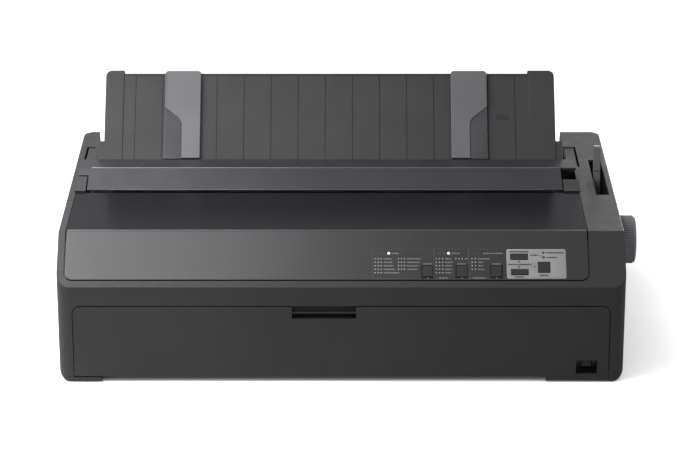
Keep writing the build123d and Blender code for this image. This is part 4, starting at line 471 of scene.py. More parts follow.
def lens(name, colour, glow):
    """A lens over a small light. Tiny facets in it break up its shine."""
    material, tree = new_material(name)
    where = add(tree, "ShaderNodeTexCoord").outputs["Object"]
    facets = grain(tree, where, 0.4, 0.05, 0.5)
    principled(tree, {
        "Base Color": linear(colour),
        "Roughness": 0.2,
        "Normal": facets.outputs[0],
        "Emission Color": linear(colour),
        "Emission Strength": glow,
    })
    return material


# Lights that are off look like grey glass, and the ones that are on are nearly white
light_off = lens("led_lens_off", "4c4c48", 0.0)
light_on = lens("led_lens_lit", "f4f3e8", 0.8)
# Dots printed beside the key's choices, a warm cream
ink_cream = plastic("cream_pad_ink", "b4b3a0", "bdbcaa", 0.6, 0.1, grain_mm=0.1, depth_mm=0.002)
print("materials", len(bpy.data.materials))

# %% [markdown]
# Now each CAD piece takes its material. The table reads material first, then the pieces made of it.

# %% Finish for every CAD piece
finishes = {
    case_plastic: "base_tray upper_case front_door slot_cover",
    panel_plastic: "control_panel",
    guide_plastic: "sheet_guide left_gate right_gate",
    grip_plastic: "left_edge_guide right_edge_guide ribbon_knob release_lever thickness_lever",
    knob_plastic: "platen_knob",
    black_plastic_and_shade: "font_button pitch_button tear_off_button load_eject_button line_feed_button pause_button "
                 "power_rocker power_switch_housing ac_inlet ribbon_cartridge",
    nylon_black: "carriage left_tractor right_tractor tension_roller",
    acetal_white: "platen_gear idler_gear left_sprocket right_sprocket drive_pulley idler_pulley",
    smoked_plastic: "printer_cover",
    bar_plastic: "tension_unit",
    dark_steel: "left_side_plate right_side_plate tractor_support_shaft",
    zinc_steel: "carriage_rail board_screws",
    ground_steel: "hinge_pins platen_shaft carriage_rod tractor_drive_shaft",
    cast_aluminium: "print_head",
    nickel: "parallel_connector usb_connector",
    brass: "feed_pinion",
    enamel: "paper_feed_motor carriage_motor",
    platen_rubber: "platen rubber_feet",
    belt_rubber: "feed_belt carriage_belt",
    ribbon_cloth: "ribbon",
    board_green: "control_board power_supply_board main_board",
    light_off: "status_lights",
}
for material, names in finishes.items():
    for name in names.split():
        mesh = nodes[name].data
        mesh.materials.clear()
        mesh.materials.append(material)
dressed = {name for names in finishes.values() for name in names.split()}
print("dressed", len(dressed), "left", sorted(set(nodes) - dressed))

# %% [markdown]
# The added pieces are drawn flat in millimetres, on the plane that they belong to, and then moved
# there. A flat plate starts as a curve: its outlines are filled, holes included, given a thickness
# and a rounded edge, and turned into a mesh. Every piece is closed, faces outward, and rides on the
# CAD body it is fixed to.

# %% Drawing helpers
# Corners closer together than this become one. Edges that turn less than this angle look smooth
SAME_CORNER_MM = 0.002
SMOOTH_ANGLE = 35
# How far a flat piece stands off the surface that it lies on
LIFT = 0.02
# Turns a shape that stands on its plane, so that it lies across it
LYING = Matrix.Rotation(math.radians(90), 4, "Y")


def mesh_piece(name, mesh, material, plane, body="case", out=0.0):
    """Closes a drawn mesh, moves it to its plane, gives it its material and ties it to a CAD body."""
    mesh.transform(plane.matrix(out))
    shape = bmesh.new()
    shape.from_mesh(mesh)
    bmesh.ops.remove_doubles(shape, verts=shape.verts, dist=SAME_CORNER_MM * MM)
    bmesh.ops.recalc_face_normals(shape, faces=shape.faces)
    shape.to_mesh(mesh)
    shape.free()
    mesh.materials.clear()
    mesh.materials.append(material)
    mesh.polygons.foreach_set("use_smooth", [True] * len(mesh.polygons))
    mesh.set_sharp_from_angle(angle=math.radians(SMOOTH_ANGLE))
    mesh.name = name
    piece = bpy.data.objects.new(name, mesh)
    bpy.context.collection.objects.link(piece)
    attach(piece, body)


def rounded(x_low, x_high, s_low, s_high, corner, steps=5):
    """The outline of a rectangle with round corners, as points."""
    centres = (
        (x_high - corner, s_high - corner, 0),
        (x_low + corner, s_high - corner, 90),
        (x_low + corner, s_low + corner, 180),
        (x_high - corner, s_low + corner, 270),
    )
    points = []
    for x, s, start in centres:
        for i in range(steps + 1):
            turn = math.radians(start + 90 * i / steps)
            points.append((x + corner * math.cos(turn), s + corner * math.sin(turn)))
    return points


def rectangle(x_low, x_high, s_low, s_high):
    """The outline of a rectangle with sharp corners, as points."""
    return [(x_low, s_low), (x_high, s_low), (x_high, s_high), (x_low, s_high)]


def wider(edges, by):
    """A rectangle's edges, x low and high, then s low and high, all moved out."""
    x_low, x_high, s_low, s_high = edges
    return x_low - by, x_high + by, s_low - by, s_high + by


def ring(x, s, radius, steps=24):
    """The outline of a circle, as points."""
    turns = [2 * math.pi * i / steps for i in range(steps)]
    return [(x + radius * math.cos(turn), s + radius * math.sin(turn)) for turn in turns]


def plate_mesh(outlines, low, high, edge=0.0):
    """A flat plate inside the outlines, between two heights, with its edges rounded."""
    curve = bpy.data.curves.new("outline", "CURVE")
    curve.dimensions = "2D"
    curve.fill_mode = "BOTH"
    curve.extrude = (high - low) / 2 - edge
    curve.bevel_depth = edge
    curve.bevel_resolution = 2
    curve.offset = -edge
    for points in outlines:
        spline = curve.splines.new("POLY")
        spline.points.add(len(points) - 1)
        for point, (x, s) in zip(spline.points, points):
            point.co = (x, s, 0, 1)
        spline.use_cyclic_u = True
    holder = bpy.data.objects.new("outline", curve)
    mesh = bpy.data.meshes.new_from_object(holder)
    bpy.data.objects.remove(holder)
    bpy.data.curves.remove(curve)
    mesh.transform(Matrix.Translation((0, 0, (low + high) / 2)))
    return mesh


def lathe_mesh(profile, steps=32):
    """A turned shape. Its profile is (radius, height) points that start and end on the axis."""
    shape = bmesh.new()
    rings = []
    for radius, height in profile:
        if radius == 0:
            rings.append([shape.verts.new((0, 0, height))] * steps)
            continue
        turns = [2 * math.pi * i / steps for i in range(steps)]
        rings.append([shape.verts.new((radius * math.cos(t), radius * math.sin(t), height)) for t in turns])
    for below, above in zip(rings, rings[1:]):
        for i in range(steps):
            corners = [below[i - 1], below[i], above[i], above[i - 1]]
            shape.faces.new(list(dict.fromkeys(corners)))
    mesh = bpy.data.meshes.new("turned")
    shape.to_mesh(mesh)
    shape.free()
    return mesh


def joined(*meshes):
    """Several meshes as one."""
    shape = bmesh.new()
    for mesh in meshes:
        shape.from_mesh(mesh)
        bpy.data.meshes.remove(mesh)
    whole = bpy.data.meshes.new("joined")
    shape.to_mesh(whole)
    shape.free()
    return whole


print("drawing helpers ready")

# %% [markdown]
# The dots beside the key's choices, the screws and the contacts are all the same thing: one small
# shape, repeated on a grid. That is a job for Geometry Nodes. The group below draws a line of points
# across, a line of points up from each of them, sets a copy of the stamp on every point, turns each
# copy by a random angle up to a limit, makes the copies real and paints them.

# %% Geometry Nodes group for repeats
stamp_grid = bpy.data.node_groups.new("stamp_grid", "GeometryNodeTree")
stamp_grid.interface.new_socket("Geometry", in_out="OUTPUT", socket_type="NodeSocketGeometry")
grid_inputs = {
    "Stamp": "NodeSocketObject",
    "Columns": "NodeSocketInt",
    "Rows": "NodeSocketInt",
    "Column Step": "NodeSocketFloat",
    "Row Step": "NodeSocketFloat",
    "Turn": "NodeSocketFloat",
    "Seed": "NodeSocketInt",
    "Material": "NodeSocketMaterial",
}
grid_sockets = {}
for label, kind in grid_inputs.items():
    socket = stamp_grid.interface.new_socket(label, in_out="INPUT", socket_type=kind)
    grid_sockets[label] = socket.identifier

start = add(stamp_grid, "NodeGroupInput").outputs
across = add(stamp_grid, "ShaderNodeCombineXYZ", {0: start["Column Step"]})
line = add(stamp_grid, "GeometryNodeMeshLine", {"Count": start["Columns"], "Offset": across.outputs[0]})
upward = add(stamp_grid, "ShaderNodeCombineXYZ", {1: start["Row Step"]})
column = add(stamp_grid, "GeometryNodeMeshLine", {"Count": start["Rows"], "Offset": upward.outputs[0]})
columns = {"Points": line.outputs[0], "Instance": column.outputs[0]}
lattice = add(stamp_grid, "GeometryNodeInstanceOnPoints", columns)
places = add(stamp_grid, "GeometryNodeRealizeInstances", {0: lattice.outputs[0]})
most = add(stamp_grid, "ShaderNodeCombineXYZ", {2: start["Turn"]})
spin = {0: (0.0, 0.0, 0.0), 1: most.outputs[0], "Seed": start["Seed"]}
turned = add(stamp_grid, "FunctionNodeRandomValue", spin, data_type="FLOAT_VECTOR")
stamp = add(stamp_grid, "GeometryNodeObjectInfo", {"Object": start["Stamp"]})
copies = add(stamp_grid, "GeometryNodeInstanceOnPoints", {
    "Points": places.outputs[0],
    "Instance": stamp.outputs["Geometry"],
    "Rotation": turned.outputs[0],
})
real = add(stamp_grid, "GeometryNodeRealizeInstances", {0: copies.outputs[0]})
coat = {"Geometry": real.outputs[0], "Material": start["Material"]}
painted = add(stamp_grid, "GeometryNodeSetMaterial", coat)
add(stamp_grid, "NodeGroupOutput", {0: painted.outputs[0]})


def grid_mesh(stamp_mesh, material, columns, rows, column_step, row_step, x=0.0, s=0.0, turn=0.0, seed=1):
    """The stamp on a grid whose first copy stands at (x, s), as one mesh in millimetres."""
    stamp = bpy.data.objects.new("stamp", stamp_mesh)
    holder = bpy.data.objects.new("grid", bpy.data.meshes.new("grid"))
    bpy.context.collection.objects.link(holder)
    modifier = holder.modifiers.new("stamp_grid", "NODES")
    modifier.node_group = stamp_grid
    values = (stamp, columns, rows, column_step, row_step, turn, seed, material)
    for label, value in zip(grid_inputs, values):
        modifier[grid_sockets[label]] = value
    seen = holder.evaluated_get(bpy.context.evaluated_depsgraph_get())
    mesh = bpy.data.meshes.new_from_object(seen)
    bpy.data.objects.remove(holder)
    bpy.data.objects.remove(stamp)
    mesh.transform(Matrix.Translation((x, s, 0)))
    return mesh


print("stamp_grid has", len(stamp_grid.nodes), "nodes")

# %% [markdown]
# The control panel carries a silver film around three of its keys, a printed frame with three
# fields, and columns of cream dots that show which choice is on. All words are left off. Where they
# stand, the print is only short plain bars. Places on the panel are given across from the case's
# middle and up the slope.

# %% Control panel print
FILM = (180.0, 244.7, 10.5, 46.2)
FILM_CORNER = 2.4
FILM_THICK = 0.35
FILM_EDGE = 0.1
FRAME = (34.0, 180.0, 10.2, 46.6)
FRAME_CORNER = 1.6
FIELD_CORNER = 0.8
FRAME_LINE = 0.45
FRAME_SPLITS = (100.7, 138.6)
PRINT = 0.12
KEY_GAP = 0.5
KEY_CORNER = 0.4
LIGHT_HOLE = 1.5
FILM_KEYS = ((184.4, 203.0, 33.6, 40.3), (185.0, 203.4, 15.2, 21.7), (214.4, 227.1, 18.1, 30.4))
DARK_KEYS = ((88.2, 99.7, 12.7, 26.2), (125.4, 137.2, 12.7, 26.2), (163.1, 174.3, 12.7, 26.2))
FILM_LIGHTS = ((220.5, 41.7), (220.5, 36.2))
ROW_S = (34.7, 30.5, 26.2, 22.0, 17.8)
ROW_STEP = ROW_S[1] - ROW_S[0]

holes = [rounded(*wider(key, KEY_GAP), KEY_CORNER) for key in FILM_KEYS]
holes += [ring(x, s, LIGHT_HOLE) for x, s in FILM_LIGHTS]
film = plate_mesh([rounded(*FILM, FILM_CORNER)] + holes, LIFT, FILM_THICK, FILM_EDGE)
mesh_piece("panel_film", film, film_silver, SLOPE)

edges = (FRAME[0], *FRAME_SPLITS, FRAME[1] - FRAME_LINE / 2)
fields = [
    rounded(a + FRAME_LINE, b - FRAME_LINE / 2, FRAME[2] + FRAME_LINE, FRAME[3] - FRAME_LINE, FIELD_CORNER)
    for a, b in zip(edges, edges[1:])
]
frame_mesh = plate_mesh([rounded(*FRAME, FRAME_CORNER)] + fields, LIFT, PRINT)
mesh_piece("panel_frame", frame_mesh, ink_dim, SLOPE)

# A dark ring painted round each black key as its shade, widest below the key, where its shadow falls
KEY_SHADE_SIDE = 1.5
KEY_SHADE_BELOW = 2.2
KEY_SHADE_ABOVE = 1.0
KEY_SHADE_GAP = 0.4
KEY_SHADE_THICK = 0.1
key_shades = []
for key in DARK_KEYS:
    a, b, c, d = key
    key_shades.append(rounded(a - KEY_SHADE_SIDE, b + KEY_SHADE_SIDE, c - KEY_SHADE_BELOW, d + KEY_SHADE_ABOVE, 0.8))
    key_shades.append(rounded(*wider(key, KEY_SHADE_GAP), 0.3))
mesh_piece("key_wells", plate_mesh(key_shades, LIFT, KEY_SHADE_THICK), dark_ink_and_shade, SLOPE)

# Each block of dots: where it starts, its columns and rows, and the step between columns
DOT_BLOCKS = (
    (36.8, 3, 5, 3.3),
    (62.3, 3, 4, 3.25),
    (103.5, 3, 5, 3.45),
    (124.9, 3, 1, 3.4),
    (142.4, 2, 4, 3.6),
)
dot = lathe_mesh([(0, 0.0), (0.75, 0.0), (0.7, 0.16), (0.45, 0.26), (0, 0.3)], 12)
dots = joined(*[
    grid_mesh(dot.copy(), ink_cream, count, rows, step, ROW_STEP, x, ROW_S[0])
    for x, count, rows, step in DOT_BLOCKS
])
mesh_piece("choice_dots", dots, ink_cream, SLOPE, out=LIFT)

LIT_X = (51.7, 117.0)
LIT_S = 41.2
lit = lathe_mesh([(0, 0.0), (1.5, 0.0), (1.45, 0.35), (1.0, 0.75), (0.5, 0.9), (0, 0.95)], 20)
pair = joined(*[grid_mesh(lit.copy(), light_on, 1, 1, 1.0, 1.0, x, LIT_S) for x in LIT_X])
mesh_piece("lit_lamps", pair, light_on, SLOPE, out=LIFT)
print("control panel print ready")

# %% [markdown]
# Greeked print stands in for words: each word is a few short blocks of ink with narrow gaps. The
# widths come from a fixed formula, so the rows differ from each other in the way that real words do.

# %% Plain bars in place of words
LETTER_GAP = 0.35
LETTER_LEAST = 0.4
SHORT_LETTER = 0.72
WORD_HEIGHT = 1.5
FILM_WORD_HEIGHT = 1.8
WORD_DROP = 0.7


def greeked(x, s, width, start, height=WORD_HEIGHT):
    """Outlines of short blocks that fill a width, as a word would. start picks how it begins."""
    outlines = []
    at = x
    step = start
    while at < x + width - LETTER_LEAST:
        wide = 0.55 + 0.5 * ((step * 7 + 3) % 5) / 4
        tall = height * (SHORT_LETTER if (step * 5 + 2) % 3 else 1.0)
        end = min(at + wide, x + width)
        outlines.append(rectangle(at, end, s, s + tall))
        at = end + LETTER_GAP
        step += 1
    return outlines


# Headings and notes: place across, place up, width and start
PANEL_WORDS = (
    (55.0, 40.5, 7.5, 0),
    (120.5, 40.5, 8.0, 2),
    (155.0, 40.5, 21.0, 4),
    (106.0, 10.9, 10.0, 4),
    (143.0, 10.9, 14.0, 1),
)
# Columns beside the dots: place across, a width for each row, and start
PANEL_COLUMNS = (
    (46.2, (8.5, 9.0, 10.5, 12.0, 17.0), 0),
    (71.5, (15.0, 14.0, 12.5, 11.5), 3),
    (113.2, (7.0, 8.0, 7.0, 8.0, 7.0), 1),
    (134.4, (3.4,), 6),
    (149.0, (13.0, 5.5, 6.0, 7.0), 5),
)
KEY_WORD = 9.0
KEY_WORD_ABOVE = 1.6
ARROW_S = (11.0, 12.4)
ARROW_HALF = 1.2

pale = []
for x, s, width, start in PANEL_WORDS:
    pale += greeked(x, s, width, start)
for x, widths, start in PANEL_COLUMNS:
    for i, (s, width) in enumerate(zip(ROW_S, widths)):
        pale += greeked(x, s - WORD_DROP, width, start + i)
for a, b, c, d in DARK_KEYS:
    middle = (a + b) / 2
    pale += greeked(middle - KEY_WORD / 2, d + KEY_WORD_ABOVE, KEY_WORD, int(a))
    foot, tip = ARROW_S
    pale.append([(middle - ARROW_HALF, foot), (middle + ARROW_HALF, foot), (middle, tip)])
mesh_piece("panel_bars", plate_mesh(pale, LIFT, PRINT), ink_pale, SLOPE)

FILM_WORDS = (
    (183.0, 42.4, 21.0, 0),
    (205.5, 38.0, 9.5, 3),
    (223.5, 40.9, 19.0, 5),
    (223.5, 35.3, 12.0, 2),
    (181.8, 26.8, 25.5, 1),
    (188.5, 11.9, 10.5, 6),
    (216.0, 13.6, 9.5, 2),
)
# Small arrows and ticks between the film's keys
FILM_SIGNS = (
    rectangle(209.0, 211.8, 24.5, 25.0),
    ((210.1, 25.0), (210.7, 25.0), (210.7, 28.0)),
    ((192.4, 30.4), (195.0, 30.4), (193.7, 32.4)),
    ((192.4, 25.4), (195.0, 25.4), (193.7, 23.4)),
    ((216.6, 39.0), (216.6, 37.0), (218.2, 38.0)),
)
dark = []
for x, s, width, start in FILM_WORDS:
    dark += greeked(x, s, width, start, FILM_WORD_HEIGHT)
dark += FILM_SIGNS
bars = plate_mesh(dark, FILM_THICK, FILM_THICK + PRINT)
mesh_piece("film_bars", bars, dark_ink_and_shade, SLOPE)
print("bars", len(pale) + len(dark))

# %% [markdown]
# The lines that draw the printer's shape are narrow rounded edges, and each one catches a lamp. Fine
# beads along the crest and the front of the bar, and along the front of the cover, do that here, and
# their colour, lighter than the faces beside them, is a painted highlight. A bead is a long thin rod
# with round ends, drawn as a turned shape and laid along the case.

# %% Beads along the bar and the cover
BEAD_STEPS = 12
# Each bead: its piece, its ends across, its middle's depth and height, its radius and its body
BEADS = (
    ("bar_crest_bead", (-287.7, 249.7), (20.5, 170.55), 0.75, "tension_unit"),
    ("bar_front_bead", (-264.7, 231.7), (-23.0, 159.7), 0.5, "tension_unit"),
    ("cover_front_bead", (-300.6, 268.6), (-147.8, 158.15), 0.5, "printer_cover"),
)


def bead_mesh(x_low, x_high, radius):
    """A thin rod with round ends along X, in millimetres from the case's middle."""
    half = (x_high - x_low) / 2
    turns = [math.radians(turn) for turn in (0, 30, 60, 90)]
    cap = [(radius * math.sin(turn), radius * math.cos(turn)) for turn in turns]
    low = [(r, -half + radius - h) for r, h in cap]
    high = [(r, half - radius + h) for r, h in reversed(cap)]
    mesh = lathe_mesh([(0, low[0][1])] + low[1:] + high[:-1] + [(0, high[-1][1])], BEAD_STEPS)
    mesh.transform(Matrix.Translation(((x_low + x_high) / 2, 0, 0)) @ LYING)
    return mesh


# Smoother than the faces beside it, and a lighter colour that paints a highlight along each edge
bead_highlight_plastic = plastic("bead_gloss_painted_highlight", "56555b", "5c5b61", 0.2, 0.9, grain_mm=0.6, depth_mm=0.002)
for name, ends, middle, radius, body in BEADS:
    mesh_piece(name, bead_mesh(*ends, radius), bead_highlight_plastic, Flat((CASE_X, *middle), (0, 1, 0)), body)

# A dark strip lies in the joint between the cover and the top of the slope, as painted shade in the gap
GAP_SHADE = (-301.0, 269.0, 50.25, 51.9)
GAP_SHADE_THICK = 0.2
gap_shade = plate_mesh([rounded(*GAP_SHADE, 0.3)], LIFT, GAP_SHADE_THICK)
mesh_piece("cover_seal", gap_shade, black_plastic_and_shade, DECK)
print("beads", len(BEADS), "seal 1")

# %% [markdown]
# The two edge guides get a darker plate in the pocket of their lower outer corner, as painted shade,
# and the sheet guide's grooves hold dark strips, which are painted shade too. The strips are the grid
# again: one strip, fifteen times. Small raised marks on the guide show where the edge guides stand
# for the usual paper widths.

# %% Sheet guide
EDGE_OUT = 3.9
POCKET_DEPTH = 1.4
POCKET_FLOOR = 0.3
POCKET_SHAPE = ((0.4, 10.6), (0.4, 73.2), (17.3, 59.3), (20.1, 53.8), (20.1, 10.6))
EDGE_OUTER = {"left_edge_guide": (-206.4, 1), "right_edge_guide": (169.7, -1)}
GROOVE_FIRST = -248.9
GROOVE_STEP = 31.7
GROOVE_COUNT = 15
GROOVE_OUT = -1.8
SHADE_STRIP_HALF = 0.32
SHADE_STRIP_S = (4.0, 113.5)
RAISED = 0.3
PANEL_OUT = -1.0

# The pocket's floor is painted darker than the guide's face, as the shade in the recess, and has a coarser
# grain
pocket_shade_plastic = plastic("grey_abs_pocket_shade", "4c4c50", "55555a", 0.68, 0.2, grain_mm=0.8, depth_mm=0.05)
floor_low = EDGE_OUT - POCKET_DEPTH + LIFT
for body, (outer, inward) in EDGE_OUTER.items():
    points = [(outer + inward * x, s) for x, s in POCKET_SHAPE]
    pocket_shade = plate_mesh([points], floor_low, floor_low + POCKET_FLOOR, 0.1)
    mesh_piece(body + "_pocket", pocket_shade, pocket_shade_plastic, GUIDE, body)

# Dark strips in the grooves: painted shade
shade_strip = plate_mesh([rectangle(-SHADE_STRIP_HALF, SHADE_STRIP_HALF, *SHADE_STRIP_S)], LIFT, RAISED)
shade_strips = grid_mesh(shade_strip, black_plastic_and_shade, GROOVE_COUNT, 1, GROOVE_STEP, 1.0, GROOVE_FIRST)
mesh_piece("groove_strips", shade_strips, black_plastic_and_shade, GUIDE, "sheet_guide", out=GROOVE_OUT)

# A pointer at the left, and at the right three wide marks, two narrow ones and a line
marks = [[(-215.5, 97.0), (-211.5, 99.0), (-215.5, 101.0)]]
marks += [rounded(x, x + 2.2, 60.0, 66.5, 0.5) for x in (181.0, 185.5, 193.0)]
marks += [rounded(x, x + 1.2, 60.0, 64.0, 0.4) for x in (189.0, 190.9)]
marks += [rectangle(175.0, 180.0, 59.0, 59.5)]
marks_mesh = plate_mesh(marks, LIFT, RAISED)
mesh_piece("guide_marks", marks_mesh, black_plastic_and_shade, GUIDE, "sheet_guide", out=PANEL_OUT)
print("sheet guide dressed")

# %% [markdown]
# Beside the release lever a small printed scale shows its three positions as outlined sheets, the
# middle one with four dots in it. The power switch carries the usual line and ring.

# %% Marks by the lever and on the switch
SCALE_X = (280.0, 286.0)
SCALE_HEIGHT = 8.0
SCALE_S = (186.0, 199.0, 212.0)
SCALE_LINE = 0.6
DOT_X = (281.8, 283.9)
DOT_S = (201.5, 204.5)
DOT_RADIUS = 0.45
MARK_THICK = 0.1

scale = []
for s in SCALE_S:
    sheet = (*SCALE_X, s, s + SCALE_HEIGHT)
    scale += [rounded(*sheet, 0.8), rounded(*wider(sheet, -SCALE_LINE), 0.4)]
scale += [ring(x, s, DOT_RADIUS, 8) for x in DOT_X for s in DOT_S]
mesh_piece("lever_scale", plate_mesh(scale, LIFT, PRINT), ink_dim, DECK)

# The rocker's two faces meet in a shallow valley at its middle
ROCKER_X = 269.85
ROCKER_MIDDLE = (CASE_X, -183.9, 17.75)
ROCKER_LEAN = 2.2
ROCKER_HALF = 5.15
UPPER_HALF = Flat(ROCKER_MIDDLE, (0, -ROCKER_LEAN, ROCKER_HALF))
LOWER_HALF = Flat(ROCKER_MIDDLE, (0, ROCKER_LEAN, ROCKER_HALF))
line_mark = plate_mesh([rounded(ROCKER_X - 0.3, ROCKER_X + 0.3, 1.5, 4.1, 0.2)], LIFT, MARK_THICK)
mesh_piece("switch_line", line_mark, ink_pale, UPPER_HALF, "power_rocker")
ring_mark = plate_mesh([ring(ROCKER_X, -2.8, 1.3), ring(ROCKER_X, -2.8, 0.85)], LIFT, MARK_THICK)
mesh_piece("switch_ring", ring_mark, ink_pale, LOWER_HALF, "power_rocker")
print("marks 3")

# %% [markdown]
# The back of the printer is read by its sockets. Each connector gets rows of gilded contacts, the
# mains inlet gets its three blades, and a blank plate lies on the slot cover, where a maker would
# list the voltages.

# %% Sockets at the back
BOARD_TOP = 19.2
TONGUE_HALF = 1.5
CONTACT_HALF = 0.55
CONTACT_OUT = (-12.0, -4.1)
CONTACT_LIFT = 0.15
# Each socket: its place across the back, its middle's height, its contacts in a row and their step
SOCKETS = (
    (-20.0, BOARD_TOP + 7.0, 18, 2.16),
    (-90.0, BOARD_TOP + 5.5, 2, 2.5),
)
BLADES = ((223.0, 38.0), (237.0, 38.0), (230.0, 42.0))
BLADE_HALF = (1.2, 2.2)
BLADE_OUT = (-20.0, -5.7)
PLATE = (-176.0, -114.0, 37.0, 55.0)
PLATE_OUT = (-0.19, -0.09)
LINE_OUT = (-0.08, -0.02)
LINE_START = -173.0
LINE_ENDS = (-117.0, -127.0, -137.0, -117.0)

# Contacts are gilded brass: yellow, smooth, a little worn
gilt = metal("gilded_contact", "d9b25a", 0.12, 0.25, 1.2, 0.004)
contact = plate_mesh([rounded(-CONTACT_HALF, CONTACT_HALF, -0.14, 0.14, 0.1, 2)], *CONTACT_OUT)
rows = [
    grid_mesh(contact.copy(), gilt, count, 1, step, 1.0, x - step * (count - 1) / 2, z + side)
    for x, z, count, step in SOCKETS
    for side in (-TONGUE_HALF - CONTACT_LIFT, TONGUE_HALF + CONTACT_LIFT)
]
mesh_piece("socket_contacts", joined(*rows), gilt, REAR)

# The mains blades get nickel sleeves over the model's plain ones
wide, tall = BLADE_HALF
blades = [rounded(x - wide, x + wide, s - tall, s + tall, 0.4) for x, s in BLADES]
mesh_piece("inlet_blades", plate_mesh(blades, *BLADE_OUT, 0.2), nickel, REAR)

plate = plate_mesh([rounded(*PLATE, 1.5)], *PLATE_OUT)
mesh_piece("rating_plate", plate, film_silver, REAR)
lines = [
    rounded(LINE_START, end, 40.0 + 4.0 * i, 40.4 + 4.0 * i, 0.15)
    for i, end in enumerate(LINE_ENDS)
]
mesh_piece("rating_lines", plate_mesh(lines, *LINE_OUT), dark_ink_and_shade, REAR)
print("sockets dressed")

# %% [markdown]
# Screws hold the case together. One screw is two discs: the upper one has a round edge and a hole
# shaped as a cross, and a plain one closes it below. The grid sets the copies and turns each cross at
# random, since no two screws ever stop at the same angle.

# %% Screws
HEAD = 3.2
HEAD_LOW = 0.4
HEAD_HIGH = 1.1
CROSS = 2.0
SLOT = 0.45
ANY_TURN = 3.0
BEVEL_RUN = 16.0
BEVEL_DROP = 40.0
TRAY_BOTTOM = 1.2


def screw_mesh():
    """A pan head with a cross, standing on its plane."""
    cross = []
    for quarter in range(4):
        turn = math.radians(90 * quarter)
        for x, s in ((CROSS, -SLOT), (CROSS, SLOT), (SLOT, SLOT)):
            cross.append((x * math.cos(turn) - s * math.sin(turn), x * math.sin(turn) + s * math.cos(turn)))
    upper = plate_mesh([ring(0, 0, HEAD), cross], HEAD_LOW + LIFT, HEAD_HIGH, 0.2)
    lower = plate_mesh([ring(0, 0, HEAD)], 0.0, HEAD_LOW)
    return joined(upper, lower)


BEVEL = Flat((CASE_X, REAR_Y, DECK_Z - BEVEL_DROP), (0, -BEVEL_RUN, BEVEL_DROP), (-1, 0, 0))
UNDER = Flat((CASE_X, FRONT_Y, TRAY_BOTTOM), (0, 1, 0), (-1, 0, 0))
screw = screw_mesh()
rear_screws = grid_mesh(screw.copy(), zinc_steel, 1, 2, 1.0, 21.0, -284.0, 9.0, ANY_TURN, 4)
mesh_piece("rear_screws", rear_screws, zinc_steel, BEVEL)
under_screws = grid_mesh(screw, zinc_steel, 3, 2, 255.0, 300.0, -255.0, 60.0, ANY_TURN, 7)
mesh_piece("under_screws", under_screws, zinc_steel, UNDER)
print("screws 8")

# %% [markdown]
# The two circuit boards show when the sheet guide is folded or the covers are open. The model has
# their large parts as plain blocks, so each block gets a skin of what it is really made of: tape on
# the transformer, sleeves on the capacitors, aluminium on the heat sinks. The grid adds rows of small
# chips and resistors, the resistors each turned a little.

# %% Circuit boards
BOARD = Flat((CASE_X, FRONT_Y, BOARD_TOP), (0, 1, 0))
SKIN = 0.3
SKIN_LOW = 0.2
TRANSFORMER = (-210.0, -165.0, 282.0, 327.0)
CORE_LAYERS = ((SKIN_LOW, 3.8), (30.2, 34.4))
TAPE_LAYER = (4.0, 30.0)
CAPACITOR = (-125.0, 292.0)
CAPACITOR_STEP = 45.0
SUPPLY_SINK = (-150.0, -146.0, 270.0, 362.0)
SUPPLY_SINK_HIGH = 30.4
DRIVER_SINK = (125.0, 165.0, 302.0, 322.0)
DRIVER_SINK_HIGH = 18.0
FIN_HIGH = 24.5
FIN_COUNT = 11
FIN_STEP = 3.8
PROCESSOR = (65.0, 95.0, 312.0, 342.0)
PROCESSOR_HIGH = 2.6

# Transformer tape is a thin amber film over the coil, with a waxy shine
amber_tape = plastic("amber_coil_tape", "9a7a2e", "a88838", 0.3, 0.5, grain_mm=1.5, depth_mm=0.05)
# Capacitor sleeves are shrunk blue film, taut and fairly glossy
blue_sleeve = plastic("blue_shrink_sleeve", "1f2f4e", "253656", 0.28, 0.5, grain_mm=2.0, depth_mm=0.02)
# Resistor bodies are dipped in a chalky tan coat
tan_coat = plastic("tan_resistor_coat", "b59a6c", "bfa577", 0.6, 0.3, grain_mm=0.4, depth_mm=0.02)


def skin(block, corner, low, high, edge):
    """A plate just outside a block of the model, between two heights above the board."""
    return plate_mesh([rounded(*wider(block, SKIN), corner)], low, high, edge)


mesh_piece("transformer_tape", skin(TRANSFORMER, 3.0, *TAPE_LAYER, 0.4), amber_tape, BOARD)
core = joined(*[skin(TRANSFORMER, 1.0, *layer, 0.2) for layer in CORE_LAYERS])
mesh_piece("transformer_core", core, enamel, BOARD)

# The sleeve is pinched near its foot and curls over the can's edge
sleeve = [
    (0, 0.1), (11.3, 0.1), (11.5, 0.6), (11.2, 2.2), (11.5, 3.2),
    (11.5, 33.4), (10.8, 34.2), (9.6, 34.3), (0, 34.3),
]
top = [(0, 34.32), (9.4, 34.32), (9.2, 34.6), (0, 34.7)]
for name, profile, material in (("sleeves", sleeve, blue_sleeve), ("tops", top, cast_aluminium)):
    pair = grid_mesh(lathe_mesh(profile, 40), material, 1, 2, 1.0, CAPACITOR_STEP, *CAPACITOR)
    mesh_piece("capacitor_" + name, pair, material, BOARD)

fin_length = DRIVER_SINK[3] - DRIVER_SINK[2]
fin = plate_mesh([rounded(-0.7, 0.7, 0.0, fin_length, 0.3)], DRIVER_SINK_HIGH - 0.1, FIN_HIGH, 0.2)
sinks = [
    skin(SUPPLY_SINK, 0.5, SKIN_LOW, SUPPLY_SINK_HIGH, 0.15),
    skin(DRIVER_SINK, 0.5, SKIN_LOW, DRIVER_SINK_HIGH, 0.15),
    grid_mesh(fin, cast_aluminium, FIN_COUNT, 1, FIN_STEP, 1.0, DRIVER_SINK[0] + 1.0, DRIVER_SINK[2]),
]
mesh_piece("heat_sink_skins", joined(*sinks), cast_aluminium, BOARD)

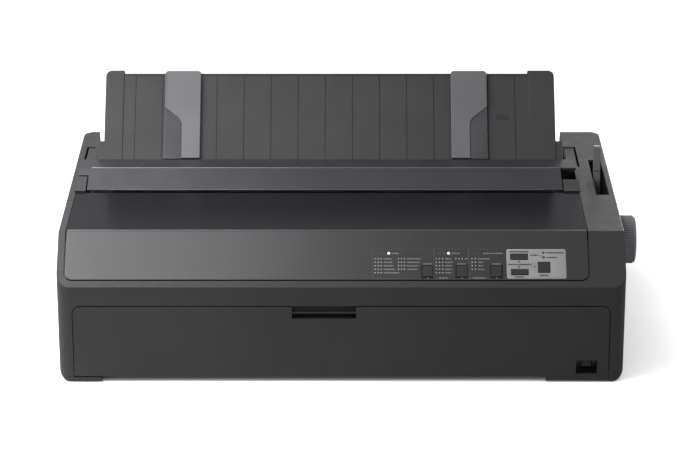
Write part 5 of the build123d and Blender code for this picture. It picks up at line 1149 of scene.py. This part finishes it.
chip = plate_mesh([rounded(-3.4, 3.4, -1.9, 1.9, 0.2, 2)], 0.4, 2.0, 0.15)
large_chip = plate_mesh([rounded(-8.0, 8.0, -3.4, 3.4, 0.3, 2)], 0.5, 3.6, 0.2)
chips = [
    grid_mesh(chip, black_plastic_and_shade, 14, 2, 12.0, 12.0, -8.0, 275.0),
    grid_mesh(large_chip, black_plastic_and_shade, 4, 1, 26.0, 1.0, 72.0, 360.0),
    skin(PROCESSOR, 0.8, SKIN_LOW, PROCESSOR_HIGH, 0.2),
]
mesh_piece("board_chips", joined(*chips), black_plastic_and_shade, BOARD)

# A resistor's body is a little thicker at both ends. It lies on the board
BARREL_LIFT = 1.4
LITTLE_TURN = 0.25
BARREL = ((0, -3.2), (1.0, -3.1), (1.3, -2.4), (1.05, -1.7), (1.05, 1.7), (1.3, 2.4), (1.0, 3.1), (0, 3.2))
barrel = lathe_mesh(BARREL, 14)
barrel.transform(Matrix.Translation((0, 0, BARREL_LIFT)) @ LYING)
resistors = [
    grid_mesh(barrel.copy(), tan_coat, 3, 8, 13.0, 11.0, -256.0, 276.0, LITTLE_TURN, 5),
    grid_mesh(barrel.copy(), tan_coat, 6, 3, 11.0, 9.0, -8.0, 312.0, LITTLE_TURN, 9),
]
mesh_piece("board_resistors", joined(*resistors), tan_coat, BOARD)
print("boards dressed")

# %% [markdown]
# The ribbon cartridge lifts out through the cover, so its top carries a blank label, and beside it
# an arrow that shows which way the ribbon runs.

# %% Cartridge label
LID = Flat((CASE_X, FRONT_Y, 149.0), (0, 1, 0))
LABEL = (-120.0, 90.0, 66.0, 77.5)
ARROW_SHAFT = ((108.0, 73.0), (96.0, 73.0), (96.0, 70.6), (108.0, 70.6))
ARROW_HEAD = ((108.0, 68.6), (113.0, 71.8), (108.0, 75.0))
label = plate_mesh([rounded(*LABEL, 1.5)], LIFT, 0.25, 0.05)
mesh_piece("cartridge_label", label, film_silver, LID)
mesh_piece("cartridge_arrow", plate_mesh([ARROW_SHAFT + ARROW_HEAD], LIFT, 0.2), ink_pale, LID)
print("label and arrow")
